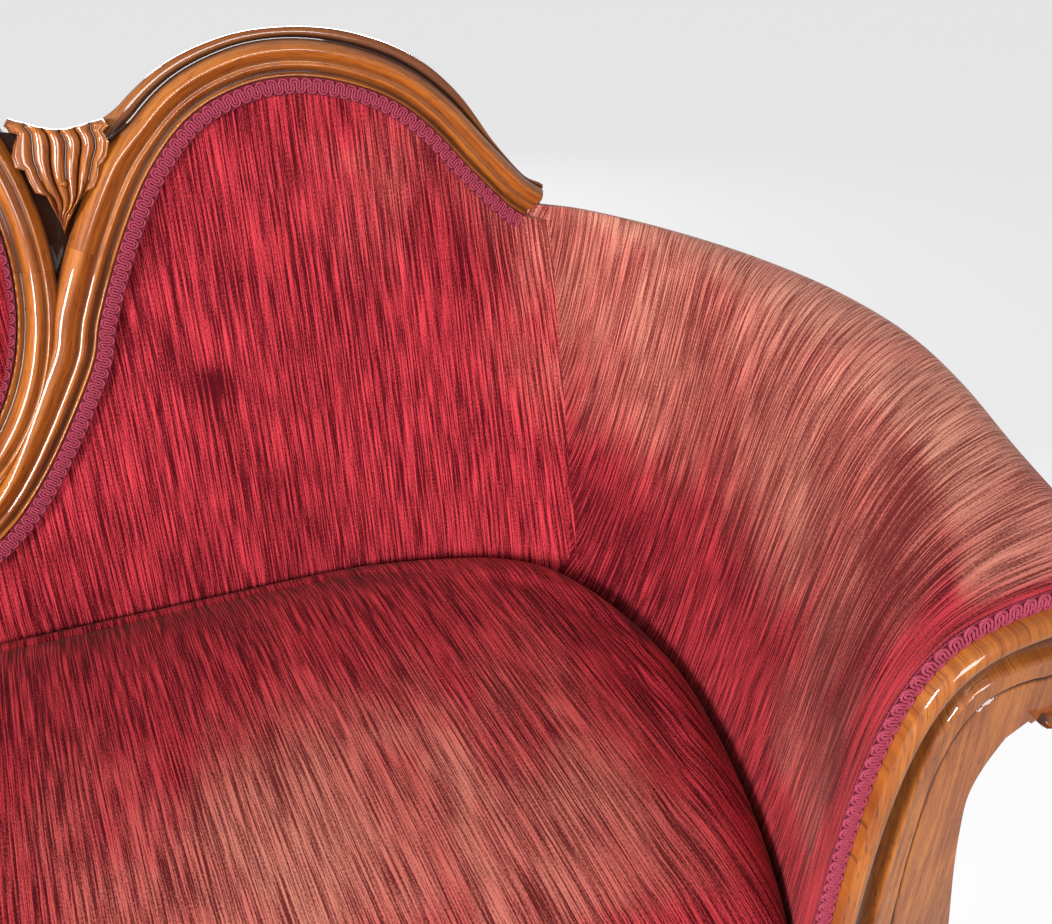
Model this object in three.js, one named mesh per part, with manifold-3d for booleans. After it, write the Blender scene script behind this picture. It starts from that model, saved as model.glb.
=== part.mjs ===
// Chair-back settee: a walnut show-wood frame with a central oval medallion, two humped back
// panels, rolled arms, a bowed sprung seat, cabriole front legs and raked back legs.
// Millimetres, +X to the settee's left as one sits, +Y to the back, +Z up.
// The left half is the mirror image of the right half.
import * as THREE from 'three';
import { mergeVertices } from 'three/addons/utils/BufferGeometryUtils.js';
import Module from 'manifold-3d';

const wasm = await Module();
wasm.setup();

// Driving sizes of the whole settee.
const SEAT_LINE = 420; // height of the line where the seat meets the back and the arms
const BACK_LEAN = THREE.MathUtils.degToRad(12); // the back leans from upright
const ARM_REACH = 746; // centre to the inside of an arm at the seat line, at the widest
const SEAT_DEPTH = 583; // back at the seat line to the front end of the arm padding
const CLEARANCE = 0.3; // between neighbouring pieces
const CURVE_CLEARANCE = 0.9; // between pieces whose curved sides are faceted differently

// Show-wood back frame, measured in the plane of the back from the seat line up.
const HUMP_INSET = 42; // the hump's inner edge ends this far inside the arm's reach
const HUMP_RISE = 527; // seat line to the top of the hump's inner edge
const MOULDING_WIDTH = 34;
const MOULDING_RELIEF = 12; // the roll stands in front of the back plane
const REAR_BAND = 10; // the plain band behind the moulding, seen outside it
const END_BULGE = 8; // the crest rail's cut end rounds out by this
const BACK_RAIL_THICKNESS = 40; // behind the back plane
const OVAL_HALF_WIDTH = 194; // of the medallion's opening
const HUMP_OVER_OVAL = 294; // HUMP_RISE less half the opening's height
const RING_LIFT = 1; // the ring clears the rails under it
const RING_WIDTH = 37;
const RING_RELIEF = 14;
const JOINT_DROP = 10; // opening's centre down to the joint between upper and lower rails
const CRESTING_HEIGHT = 34; // carving above the ring
const CRESTING_HALF_WIDTH = 112;
const LEAF_LIFT = 117; // opening's centre up to the top of the carving beside the ring
const LEAF_DROP = 104; // from there down to its tip
const LEAF_RELIEF = 13;

// Arms.
const ARM_SPREAD = 160; // the roll's middle stands outside the arm's reach by this
const CROWN_LIFT = 13; // the roll's top stands over the end of the hump's edge
const CROWN_FALL = 67; // and falls by this towards the front
const ROLL_RADIUS = 58;
const ARM_PADDING = 20;
const ARM_FOOT_PADDING = 42; // at the seat rail
const ARM_FRONT_PADDING = 14; // where the padding meets the facing
const FACING_PROUD = 9; // the facing stands in front of the padding
const FACING_THICKNESS = 30;
const FACING_WAIST = 96; // the facing's width between its edges at mid height
const FACING_BEVEL = 7;
const HEAD_GROWTH = 4; // the facing's head passes the padding's roll by this much underneath
const ROLL_END = THREE.MathUtils.degToRad(-75); // the padding turns under the roll to here
const HEAD_END = THREE.MathUtils.degToRad(-115); // the facing's scroll turns to here
const LEAF_START = THREE.MathUtils.degToRad(-20); // the leaf under the scroll starts here
const LEAF_SWELL = 15; // that leaf stands out from the scroll by this
const ARM_RAIL_SIDE = 24;
const STUMP_WIDTH = 40;
const STUMP_THICKNESS = 18;

// Seat.
const SEAT_STUFFING = 65; // the seat line stands over the seat rails
const RAIL_HEIGHT = 65;
const RAIL_THICKNESS = 48;
const SEAT_CROWN = 52; // the middle of the seat stands above the seat line
const SEAT_BOW = 52; // the seat front bulges forward between the arms
const FRONT_LIP = 30; // the stuffing hangs down in front of the deck by this depth of plan
const SEAT_GAP = 1.6; // between the seat and the back or the arms, at the seat line
const APRON_THICKNESS = 24;
const APRON_DEPTH = 72;
const APRON_DIP = 16; // the apron's lower edge drops at the middle
const APRON_PROUD = 8; // the apron stands in front of the seat's upholstery
const CARVING_HALF_WIDTH = 95;
const CARVING_HEIGHT = 54;
const CARVING_RELIEF = 10;
const BACK_PADDING = 12; // behind the back plane
const CORNER_BLOCK = 58;

// Legs.
const LEG_BLOCK_WIDTH = 118; // top of a front leg, along the front
const LEG_BLOCK_DEPTH = 74;
const LEG_BLOCK_HEIGHT = 70;
const KNEE_PROUD = 15;
const ANKLE_RADIUS = 17;
const TOE_RADIUS = 29;
const TOE_HEIGHT = 34;
const TOE_FORWARD = 20; // the toe's centre stands in front of the block's centre
const REAR_LEG_SIDE = 44;
const REAR_LEG_RAKE = 92; // the rear foot stands behind the leg at the seat rail
const POST_INSET = 28; // a rear post's middle stands inside the end of the hump

// Inside the seat.
const WEBBING_WIDTH = 50;
const WEBBING_THICKNESS = 2;
const WEBBING_LANES = 5; // from front to back
const WEBBING_ROWS = 3; // from arm to arm
const SPRING_RADIUS = 42;
const SPRING_WAIST = 27;
const SPRING_WIRE = 4;
const SPRING_TURNS = 3;
const SPRING_COLUMNS = 4;
const SPRING_ROWS = 2;
const CLOTH_THICKNESS = 2.5; // outside covers and dust cover
const DECK_THICKNESS = 17; // hessian and first stuffing over the springs and rails
const DECK_OVERHANG = 46; // the deck runs under the arm padding

// Cushion crowns and trim.
const BACK_CROWN = 17;
const OVAL_CROWN = 24;
const GIMP_WIDTH = 14;
const GIMP_THICKNESS = 3;
const TRIM_LIFT = 5; // the padding's rim and the gimp's underside meet this far over the plane
const TENON_LENGTH = 26;
const TENON_THICKNESS = 13;
const OVERRUN = 60; // cutting solids run past what they cut

// Places and sizes that follow from the ones above.
const HUMP_REACH = ARM_REACH - HUMP_INSET;
const CROWN_REACH = ARM_REACH + ARM_SPREAD;
const REAR_POST_REACH = HUMP_REACH - POST_INSET;
const RAIL_TOP = SEAT_LINE - SEAT_STUFFING;
const DECK_TOP = RAIL_TOP + CLEARANCE + DECK_THICKNESS;
const OVAL_HALF_HEIGHT = HUMP_RISE - HUMP_OVER_OVAL;

// How finely the curved pieces are divided.
const CREST_STEPS = 22;
const STILE_STEPS = 10;
const HUMP_GIMP_STEPS = 22;
const END_STEPS = 8; // across the end of a rail's clearance
const RING_STEPS = 18; // round half the medallion
const OVAL_STEPS = 28; // round the whole of it
const OVAL_RINGS = 5; // up the medallion's dome
const BEZIER_STEPS = 7; // up the inside of an arm
const ROLL_STEPS = 5;
const HEAD_STEPS = 12;
const BEVEL_STEPS = 2;
const ARM_STATIONS = 11;
const BACK_COLUMNS = 17;
const BACK_ROWS = 7;
const SEAT_COLUMNS = 7; // each side of the middle
const SEAT_ROWS = 13;
const PLAN_STEPS = 22;
const RAIL_STEPS = 12;
const REAR_LEG_STEPS = 6;
const LEG_SIDES = 16;
const SPRING_STEPS = 6; // round each turn
const SPRING_SIDES = 4;
const COVER_ROWS = 5;

// Colours of the finishes.
const walnut = { color: 0x7c3f1a, roughness: 0.25, metalness: 0 };
const beech = { color: 0xb08a5c, roughness: 0.7, metalness: 0 };
const velvet = { color: 0x7a1424, roughness: 0.85, metalness: 0 };
const gimp = { color: 0x9c3350, roughness: 0.8, metalness: 0 };
const cloth = { color: 0x2a2422, roughness: 0.95, metalness: 0 };
const jute = { color: 0x9a7b4f, roughness: 0.9, metalness: 0 };
const steel = { color: 0x8c8f92, roughness: 0.4, metalness: 1 };

// Shapes, written as shares of the sizes above.

// Inner edge of the right hump, from under the medallion over the hump to the arm: shares of
// the ring's half width, of the way from the ring's side to the hump's end, and of HUMP_RISE.
const humpShares = [
  [0, 0, 0.129], [0.259, 0, 0.152], [0.545, 0, 0.217], [0.783, 0, 0.326], [1.051, 0, 0.511],
  [1.134, 0, 0.61], [1, 0.135, 0.744], [1, 0.214, 0.86], [1, 0.306, 0.944], [1, 0.412, 0.988],
  [1, 0.513, 1], [1, 0.616, 0.986], [1, 0.717, 0.95], [1, 0.798, 0.893], [1, 0.88, 0.808],
  [1, 0.955, 0.736], [1, 1, 0.706],
];
const saddleRise = HUMP_RISE * humpShares[0][2];
const OVAL_RISE = saddleRise + MOULDING_WIDTH + REAR_BAND + RING_LIFT
  + RING_WIDTH + OVAL_HALF_HEIGHT;
const JOINT_RISE = OVAL_RISE - JOINT_DROP;
const LEAF_RISE = OVAL_RISE + LEAF_LIFT;
const HUMP_END = humpShares[humpShares.length - 1][2] * HUMP_RISE;
const CROWN_BACK = SEAT_LINE + HUMP_END * Math.cos(BACK_LEAN) + CROWN_LIFT;
const CROWN_FRONT = CROWN_BACK - CROWN_FALL;
// Line where the seat meets the back and the right arm, from the centre to the arm's front:
// shares of ARM_REACH across and SEAT_DEPTH forward.
const gapShares = [
  [0, 0], [0.32, 0], [0.605, 0.001], [0.68, 0.01], [0.765, 0.036], [0.863, 0.079],
  [0.905, 0.117], [0.942, 0.175], [0.977, 0.285], [0.997, 0.413], [1, 0.516], [0.991, 0.635],
  [0.974, 0.76], [0.951, 0.87], [0.93, 0.945], [0.91, 1],
];
const CORNER_SHARE = 0.175; // of SEAT_DEPTH: the back and the arm are sewn together here
// Top of the arm's roll in plan, from the crest rail to the arm's front: shares of CROWN_REACH
// across and of SEAT_DEPTH forward.
const crownShares = [
  [0.8, -0.105], [0.826, -0.03], [0.872, 0.06], [0.917, 0.15], [0.957, 0.247], [0.987, 0.37],
  [1, 0.51], [0.994, 0.64], [0.975, 0.78], [0.955, 0.9], [0.942, 1],
];
// Fall of the roll's top from CROWN_BACK to CROWN_FRONT along the arm.
const crownFallShares = [0, -0.07, -0.02, 0.08, 0.2, 0.315, 0.45, 0.63, 0.87, 0.98, 1];
// Moulding of the crest rails, from the upholstery outwards: shares of MOULDING_WIDTH and
// MOULDING_RELIEF.
const mouldingShares = [
  [0, 0.2], [0.06, 0.25], [0.16, 0], [0.3, 0.5], [0.42, 0.45], [0.56, 0.75], [0.7, 1],
  [0.82, 0.88], [0.93, 0.45], [1, 0],
];
// Moulding of the medallion ring, from the opening outwards.
const ringShares = [
  [0, 0.15], [0.07, 0.32], [0.18, 0.15], [0.35, 0.7], [0.5, 1], [0.66, 0.68], [0.77, 0.74],
  [0.9, 0.35], [1, 0],
];
// Width of the rear band along the hump, from its foot to its end, in shares of REAR_BAND.
const bandShares = [
  1, 1, 1, 1, 1, 1, 1.3, 1.9, 1.55, 1.3, 1.2, 1.45, 1.55, 1.35, 0.6, 0.3, 0.6,
];
const REAR_BAND_SHARE = 0.55; // of MOULDING_RELIEF: the rear band lies this far behind the plane
// Outer edge of the arm facing below the scroll: shares of the height from its foot to the
// scroll's underside, and how far out of the straight waist line it lies, of FACING_WAIST.
const facingEdgeShares = [
  [0, 0.34], [0.18, 0.25], [0.46, 0.1], [0.63, 0.03], [0.76, 0], [0.86, 0.06], [0.95, 0.18],
];
// Half of the leaf outlines: shares of half width and of height.
const leafShares = [
  [0.1, 1], [0.32, 0.97], [0.55, 1], [0.78, 0.92], [1, 0.98], [0.98, 0.82], [0.74, 0.7],
  [0.8, 0.56], [0.56, 0.44], [0.54, 0.34], [0.26, 0.26], [0.16, 0.12], [0, 0],
];
const crestingShares = [
  [0, 1], [0.14, 0.84], [0.26, 0.94], [0.4, 0.6], [0.52, 0.66], [0.68, 0.24], [0.8, 0.22],
  [1, -0.7], [0.8, -1.1], [0.4, -0.8],
];
const carvingShares = [
  [0, 1], [0.25, 0.85], [0.42, 0.98], [0.6, 0.72], [0.78, 0.82], [1, 0.52], [0.8, 0.22],
  [0.6, 0.36], [0.4, 0.04], [0.22, 0.2], [0, 0],
];
// Front leg: height from the floor as shares of the leg below its block, how far forward of
// the block's centre line the leg runs as shares of KNEE_PROUD and TOE_FORWARD, and its half
// width and half depth as shares of the block's.
const kneeShares = [
  [1, 0, 1, 1], [0.92, 0.5, 0.92, 1.06], [0.82, 0.95, 0.78, 1.04], [0.7, 0.85, 0.6, 0.86],
  [0.56, 0.4, 0.45, 0.66], [0.4, -0.1, 0.34, 0.52],
];
// Front foot: height as shares of TOE_HEIGHT, forward place as shares of TOE_FORWARD, and
// radius as shares between ANKLE_RADIUS and TOE_RADIUS.
const toeShares = [[2.3, 0, 0], [1.5, 0.3, 0.1], [1, 0.75, 0.6], [0.45, 1, 1], [0, 1, 0.7]];
const RAKE_POWER = 1.6; // a rear leg's rake gathers towards its foot
const BLOCK_SQUARENESS = 12; // power of the front leg's rounded block
const KNEE_SQUARENESS = 4;
const KNEE_ROWS = 3; // the leg turns from square to round over these rings
// Front edge, sides and back of the seat: the powers with which its crown falls to them.
const FRONT_POWER = 6;
const SIDE_POWER = 5;
const BACK_POWER = 7;
const EDGE_BIAS_SHARE = 0.35; // the seat's columns draw together near its sides
const STEP_SHARE = 0.005; // of the seat's depth: the step up from its front lip to the deck
const SPREAD_SHARE = 0.085; // of HUMP_REACH: the back's columns lean in over the hump's flank
const CORNER_FADE_SHARE = 0.2; // of the hump: the back's crown dies away towards the arm
const FIRST_TURN_SHARE = 0.3; // of the gap line: it starts to turn forward here
const FRONT_BLEND_SHARE = 0.75; // of the arm: its padding starts to thin here
const STUMP_PLACE_SHARE = 0.6; // of the arm, from the back
const stumpShares = [[0.44, 0], [0.44, 0.6], [0.52, 0.72], [0.88, 1]]; // out and up to the rail
const COVER_GUIDE_SHARE = 0.42; // the outside cover bows in to this share of the way to the roll
const CARVING_MIDDLE_SHARE = 0.62; // of APRON_DEPTH, below the rail's top
const SPRING_EDGE_SHARE = 0.08; // of SEAT_DEPTH, outside the rows of springs
const WEBBING_EDGE_SHARE = 0.25; // of SEAT_DEPTH, outside the cross webbing
const domeShares = [[1, 0], [0.7, 0.5], [0.35, 1]]; // carving: size and height towards its top
// Side seat rail's middle line in plan, from the front leg to the rear post: shares of
// ARM_REACH across and SEAT_DEPTH forward.
const railShares = [
  [1.03, 0.89], [1.07, 0.7], [1.085, 0.5], [1.065, 0.31], [1.02, 0.16], [0.965, 0.05],
  [0.935, 0.005],
];
// Arm section between the seat line and the roll's top, at the corner, part way and at the
// front: two guide points, as shares of the way out to the roll and of the rise to its top.
const armGuideShares = [
  [0, [0.42, 0.4, 0.82, 0.86]], [0.3, [0.16, 0.66, 0.5, 0.98]], [0.65, [0.05, 0.82, 0.3, 1]],
  [1, [0, 1.01, 0.21, 0.98]],
];

const flat = (x, y) => new THREE.Vector2(x, y);
const point = (x, y, z) => new THREE.Vector3(x, y, z);
const last = (list) => list[list.length - 1];
const steps = (count) => Array.from({ length: count + 1 }, (_, i) => i / count);
const mix = THREE.MathUtils.lerp;
const swell = (share) => 4 * share * (1 - share); // nothing at both ends, one in the middle
const scaled = (shares, across, up) => shares.map(([a, b]) => flat(a * across, b * up));

// A geometry from points and triangles, with its faces turned outwards.
function faceted(points, triangles) {
  let volume = 0;
  for (const [a, b, c] of triangles) {
    volume += points[a].dot(points[b].clone().cross(points[c]));
  }
  const index = volume < 0 ? triangles.map(([a, b, c]) => [a, c, b]) : triangles;
  return new THREE.BufferGeometry().setFromPoints(points).setIndex(index.flat());
}

// A closed body between rings of points; section holds the flat outline that caps the ends.
function loft(rings, section, closed = false) {
  const size = rings[0].length;
  const points = rings.flat();
  const triangles = [];
  const spans = closed ? rings.length : rings.length - 1;
  for (let i = 0; i < spans; i++) {
    const here = i * size;
    const next = ((i + 1) % rings.length) * size;
    for (let j = 0; j < size; j++) {
      const k = (j + 1) % size;
      triangles.push([here + j, here + k, next + k], [here + j, next + k, next + j]);
    }
  }
  if (!closed) {
    const far = (rings.length - 1) * size;
    const direction = Math.sign(THREE.ShapeUtils.area(section));
    for (const [a, b, c] of THREE.ShapeUtils.triangulateShape(section, [])) {
      const turn = Math.sign(THREE.ShapeUtils.area([section[a], section[b], section[c]]));
      const cap = turn === direction ? [a, b, c] : [a, c, b];
      triangles.push([cap[0], cap[2], cap[1]], cap.map((corner) => far + corner));
    }
  }
  return faceted(points, triangles);
}

// A closed body between a front grid and a back grid of points of the same size.
function slab(front, back) {
  const rows = front.length;
  const columns = front[0].length;
  const points = [...front.flat(), ...back.flat()];
  const offset = rows * columns;
  const at = (i, j) => i * columns + j;
  const triangles = [];
  for (let i = 0; i < rows - 1; i++) {
    for (let j = 0; j < columns - 1; j++) {
      const [a, b, c, d] = [at(i, j), at(i, j + 1), at(i + 1, j + 1), at(i + 1, j)];
      triangles.push([a, b, c], [a, c, d]);
      triangles.push([offset + a, offset + c, offset + b], [offset + a, offset + d, offset + c]);
    }
  }
  const rim = [];
  for (let j = 0; j < columns - 1; j++) rim.push(at(0, j));
  for (let i = 0; i < rows - 1; i++) rim.push(at(i, columns - 1));
  for (let j = columns - 1; j > 0; j--) rim.push(at(rows - 1, j));
  for (let i = rows - 1; i > 0; i--) rim.push(at(i, 0));
  rim.forEach((a, k) => {
    const b = rim[(k + 1) % rim.length];
    triangles.push([a, offset + a, offset + b], [a, offset + b, b]);
  });
  return faceted(points, triangles);
}

// A flat outline given a thickness from low to high along the third axis.
function plate(outline, low, high) {
  const geometry = new THREE.ExtrudeGeometry(new THREE.Shape(outline), {
    depth: high - low, bevelEnabled: false,
  });
  return geometry.translate(0, 0, low);
}

// A box between two corners.
function block(from, to) {
  const size = to.clone().sub(from);
  const middle = from.clone().add(to).multiplyScalar(1 / 2);
  return new THREE.BoxGeometry(size.x, size.y, size.z).translate(middle.x, middle.y, middle.z);
}

// Boolean work on closed geometries.
function solid(geometry) {
  const bare = new THREE.BufferGeometry();
  bare.setAttribute('position', geometry.getAttribute('position'));
  bare.setIndex(geometry.getIndex());
  const merged = mergeVertices(bare);
  return new wasm.Manifold(new wasm.Mesh({
    numProp: 3,
    vertProperties: merged.getAttribute('position').array,
    triVerts: new Uint32Array(merged.getIndex().array),
  }));
}
function fromSolid(body) {
  const mesh = body.getMesh();
  const geometry = new THREE.BufferGeometry();
  geometry.setAttribute('position', new THREE.BufferAttribute(mesh.vertProperties, 3));
  geometry.setIndex(new THREE.BufferAttribute(mesh.triVerts, 1));
  return geometry;
}
const cut = (geometry, ...tools) => fromSolid(
  tools.reduce((body, tool) => body.subtract(solid(tool)), solid(geometry)));
const join = (geometry, ...others) => fromSolid(
  others.reduce((body, other) => body.add(solid(other)), solid(geometry)));
// The largest connected body of a cut result.
function largest(geometry) {
  const bodies = solid(geometry).decompose();
  bodies.sort((a, b) => b.volume() - a.volume());
  return fromSolid(bodies[0]);
}

// The mirror image across the centre plane.
function mirrored(geometry) {
  const copy = mergeVertices(plainCopy(geometry));
  copy.scale(-1, 1, 1);
  const index = copy.getIndex();
  for (let i = 0; i < index.count; i += 3) {
    const b = index.getX(i + 1);
    index.setX(i + 1, index.getX(i + 2));
    index.setX(i + 2, b);
  }
  return copy;
}
function plainCopy(geometry) {
  const copy = new THREE.BufferGeometry();
  copy.setAttribute('position', geometry.getAttribute('position').clone());
  if (geometry.getIndex()) copy.setIndex(geometry.getIndex().clone());
  return copy;
}

const settee = new THREE.Group();
const back = new THREE.Group(); // across, up the back, and out of its face
back.position.z = SEAT_LINE;
back.rotation.x = Math.PI / 2 - BACK_LEAN;
settee.add(back);
back.updateMatrixWorld(true);
const outOfBack = (geometry) => plainCopy(geometry).applyMatrix4(back.matrixWorld);

function piece(group, name, geometry, finish) {
  const mesh = new THREE.Mesh(geometry, new THREE.MeshStandardMaterial(finish));
  mesh.name = name;
  group.add(mesh);
}
function pair(group, name, geometry, finish) {
  piece(group, `${name}_right`, geometry, finish);
  piece(group, `${name}_left`, mirrored(geometry), finish);
}

// Curves that several pieces follow.
const ringReach = OVAL_HALF_WIDTH + RING_WIDTH;
const humpEdge = new THREE.SplineCurve(humpShares.map(([ring, rest, up]) => flat(
  ring * ringReach + rest * (HUMP_REACH - ringReach), up * HUMP_RISE)));
const gapLine = new THREE.SplineCurve(scaled(gapShares, ARM_REACH, -SEAT_DEPTH));
const crownLine = new THREE.SplineCurve(scaled(crownShares, CROWN_REACH, -SEAT_DEPTH));
// Parameter at which a curve passes a value along one axis, found by halving.
function passes(curve, axis, value, from = 0, to = 1) {
  let [low, high] = [from, to];
  const rising = curve.getPoint(to)[axis] > curve.getPoint(from)[axis];
  const halvings = 40;
  for (let i = 0; i < halvings; i++) {
    const middle = (low + high) / 2;
    if (curve.getPoint(middle)[axis] < value === rising) low = middle;
    else high = middle;
  }
  return (low + high) / 2;
}
const corner = passes(gapLine, 'y', -CORNER_SHARE * SEAT_DEPTH, FIRST_TURN_SHARE);
const humpTop = humpShares.findIndex(([, , up]) => up === 1) / (humpShares.length - 1);
const joint = passes(humpEdge, 'y', JOINT_RISE, 0, humpTop);
const planeY = (z) => (z - SEAT_LINE) * Math.tan(BACK_LEAN);

// Left-hand side of a curve's direction, kept square to the centre plane where it starts.
function outward(curve, t) {
  if (t === 0) return flat(0, 1);
  const tangent = curve.getTangent(t);
  return flat(-tangent.y, tangent.x);
}

const crestWidth = MOULDING_WIDTH + REAR_BAND;
const bandCurve = new THREE.SplineCurve(bandShares.map((width) => flat(width, 0)));

// A section carried along the hump's inner edge, from one parameter to another. What lies
// outside the moulding follows the rear band's width, and the crest's far end bulges.
function alongHump(section, from, to, count, grow = 0) {
  const rings = steps(count).map((share) => {
    const t = mix(from, to, share);
    const here = humpEdge.getPoint(t);
    const out = outward(humpEdge, t);
    const widened = REAR_BAND * (bandCurve.getPoint(t).x - 1);
    if (t === 0) here.x = CLEARANCE / 2;
    return section.map((s) => {
      const across = s.x > MOULDING_WIDTH ? s.x + widened : s.x;
      const level = THREE.MathUtils.clamp(s.x / crestWidth, 0, 1);
      const beyond = t === 1 ? END_BULGE * swell(level) + grow : 0;
      return point(here.x + out.x * across + out.y * beyond,
        here.y + out.y * across - out.x * beyond, s.y);
    });
  });
  return loft(rings, section);
}

// A section carried round the medallion between two angles.
function aroundOval(section, from, to, count, closed = false) {
  const spans = closed ? steps(count).slice(0, -1) : steps(count);
  const rings = spans.map((share) => {
    const angle = mix(from, to, share);
    const here = flat(OVAL_HALF_WIDTH * Math.cos(angle), OVAL_HALF_HEIGHT * Math.sin(angle));
    const out = flat(here.x / OVAL_HALF_WIDTH ** 2, here.y / OVAL_HALF_HEIGHT ** 2).normalize();
    return section.map((s) => point(
      here.x + out.x * s.x, here.y + out.y * s.x + OVAL_RISE, s.y));
  });
  return loft(rings, section, closed);
}

// Back frame.
const bandBack = MOULDING_RELIEF * REAR_BAND_SHARE;
const humpSection = [
  flat(0, -BACK_RAIL_THICKNESS),
  ...scaled(mouldingShares, MOULDING_WIDTH, MOULDING_RELIEF),
  flat(MOULDING_WIDTH, -bandBack),
  flat(crestWidth, -bandBack), flat(crestWidth, -BACK_RAIL_THICKNESS),
];
const ringSection = [
  flat(0, -BACK_RAIL_THICKNESS),
  ...scaled(ringShares, RING_WIDTH, RING_RELIEF),
  flat(RING_WIDTH, -BACK_RAIL_THICKNESS),
];
const clearBox = (inner, outer) => [
  flat(inner, -BACK_RAIL_THICKNESS - OVERRUN), flat(inner, OVERRUN),
  flat(outer, OVERRUN), flat(outer, -BACK_RAIL_THICKNESS - OVERRUN),
];
const ringSpace = aroundOval(
  clearBox(-OVAL_HALF_WIDTH / 2, RING_WIDTH + CURVE_CLEARANCE), 0, 2 * Math.PI, 2 * OVAL_STEPS,
  true);
const jointGap = CLEARANCE / 2 / HUMP_RISE / 2;
const boxColumns = [
  ...steps(END_STEPS).map((share) => mix(-CLEARANCE, MOULDING_WIDTH, share)),
  crestWidth + CLEARANCE,
];
const humpBox = [
  ...boxColumns.map((across) => flat(across, OVERRUN)),
  ...boxColumns.toReversed().map((across) => flat(across, -BACK_RAIL_THICKNESS - OVERRUN)),
];
const crestSpace = alongHump(humpBox, joint - jointGap, 1, CREST_STEPS, 2 * CLEARANCE);
const stileSpace = alongHump(humpBox, 0, joint + jointGap, STILE_STEPS);

const crestRail = cut(alongHump(humpSection, joint + jointGap, 1, CREST_STEPS), ringSpace);
const backStile = cut(alongHump(humpSection, 0, joint - jointGap, STILE_STEPS), ringSpace);
pair(back, 'crest_rail', crestRail, walnut);
pair(back, 'back_stile', backStile, walnut);

const ringJoint = Math.asin((JOINT_RISE - OVAL_RISE) / OVAL_HALF_HEIGHT);
const ringJointGap = CLEARANCE / 2 / OVAL_HALF_HEIGHT;
piece(back, 'medallion_ring_upper', aroundOval(
  ringSection, ringJoint + ringJointGap, Math.PI - ringJoint - ringJointGap, RING_STEPS), walnut);
piece(back, 'medallion_ring_lower', aroundOval(
  ringSection, Math.PI - ringJoint + ringJointGap, 2 * Math.PI + ringJoint - ringJointGap,
  RING_STEPS), walnut);

// A carved piece: an outline with a domed face, from a backing depth to a relief.
function carved(outline, low, edge, relief) {
  const centre = outline.reduce((sum, p) => sum.add(p), flat(0, 0)).multiplyScalar(
    1 / outline.length);
  const levels = [[1, low], ...domeShares.map(([size, up]) => [size, mix(edge, relief, up)])];
  const rings = levels.map(([size, height]) => outline.map((p) => point(
    mix(centre.x, p.x, size), mix(centre.y, p.y, size), height)));
  return loft(rings, outline);
}
const bothSides = (half) => [
  ...half, ...half.filter((p) => p.x > 0).reverse().map((p) => flat(-p.x, p.y))];

const leafMiddle = LEAF_RISE - LEAF_DROP / 2;
const leafAngle = Math.asin((leafMiddle - OVAL_RISE) / (OVAL_HALF_HEIGHT + RING_WIDTH));
const leafInner = ringReach * Math.cos(leafAngle);
const leafOuter = humpEdge.getPoint(passes(humpEdge, 'y', leafMiddle, 0, humpTop)).x;
const leafCentre = (leafInner + leafOuter - MOULDING_WIDTH / 2) / 2;
const leafOutline = bothSides(scaled(leafShares, leafOuter - leafInner, LEAF_DROP)).map(
  (p) => flat(leafCentre + p.x, LEAF_RISE - LEAF_DROP + p.y));
// The leaf lies on a ground that fills the wood between the ring and the crest rail.
const leafFoot = LEAF_RISE - LEAF_DROP - LEAF_RELIEF;
const leafGround = plate([
  flat(leafCentre - LEAF_DROP / 2, leafFoot), flat(leafCentre + LEAF_DROP / 2, leafFoot),
  flat(leafCentre + LEAF_DROP / 2, LEAF_RISE - LEAF_RELIEF),
  flat(leafCentre - LEAF_DROP / 2, LEAF_RISE - LEAF_RELIEF),
], -BACK_RAIL_THICKNESS, -bandBack);
const shoulderLeaf = largest(cut(
  join(carved(leafOutline, -BACK_RAIL_THICKNESS, 0, LEAF_RELIEF), leafGround), ringSpace,
  crestSpace, stileSpace));
pair(back, 'shoulder_leaf', shoulderLeaf, walnut);

const crestingFoot = OVAL_RISE + OVAL_HALF_HEIGHT + RING_WIDTH;
const crestingOutline = bothSides(scaled(
  crestingShares, CRESTING_HALF_WIDTH, CRESTING_HEIGHT)).map(
  (p) => flat(p.x, crestingFoot + p.y));
piece(back, 'medallion_cresting', largest(cut(
  carved(crestingOutline, -BACK_RAIL_THICKNESS / 2, 0, RING_RELIEF), ringSpace)), walnut);

// Arm sections: each stands on the seat line at foot and runs outwards along a flat direction.
const shareAt = (table, share) => {
  const next = Math.max(1, table.findIndex(([at]) => at >= share));
  const [from, low] = table[next - 1];
  const [to, high] = table[next];
  return low.map((value, i) => mix(value, high[i], (share - from) / (to - from)));
};
const fallCurve = new THREE.SplineCurve(crownFallShares.map((fall) => flat(fall, 0)));
function armSection(share) {
  const foot = gapLine.getPoint(mix(corner, 1, share));
  const top = crownLine.getPoint(share);
  const reach = top.distanceTo(foot);
  const crown = mix(CROWN_BACK, CROWN_FRONT, fallCurve.getPoint(share).x);
  const [outA, upA, outB, upB] = shareAt(armGuideShares, share);
  const rise = crown - SEAT_LINE;
  const inner = new THREE.CubicBezierCurve(
    flat(0, SEAT_LINE), flat(outA * reach, SEAT_LINE + upA * rise),
    flat(outB * reach, SEAT_LINE + upB * rise), flat(reach, crown));
  const roll = steps(ROLL_STEPS).slice(1).map((step) => {
    const angle = mix(Math.PI / 2, ROLL_END, step);
    return flat(reach + ROLL_RADIUS * Math.cos(angle),
      crown - ROLL_RADIUS + ROLL_RADIUS * Math.sin(angle));
  });
  return {
    foot, reach, crown,
    direction: top.clone().sub(foot).normalize(),
    inner,
    profile: [flat(0, DECK_TOP + CLEARANCE), ...inner.getPoints(BEZIER_STEPS), ...roll],
  };
}
const inSection = ({ foot, direction }, p) => point(
  foot.x + direction.x * p.x, foot.y + direction.y * p.x, p.y);
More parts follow.
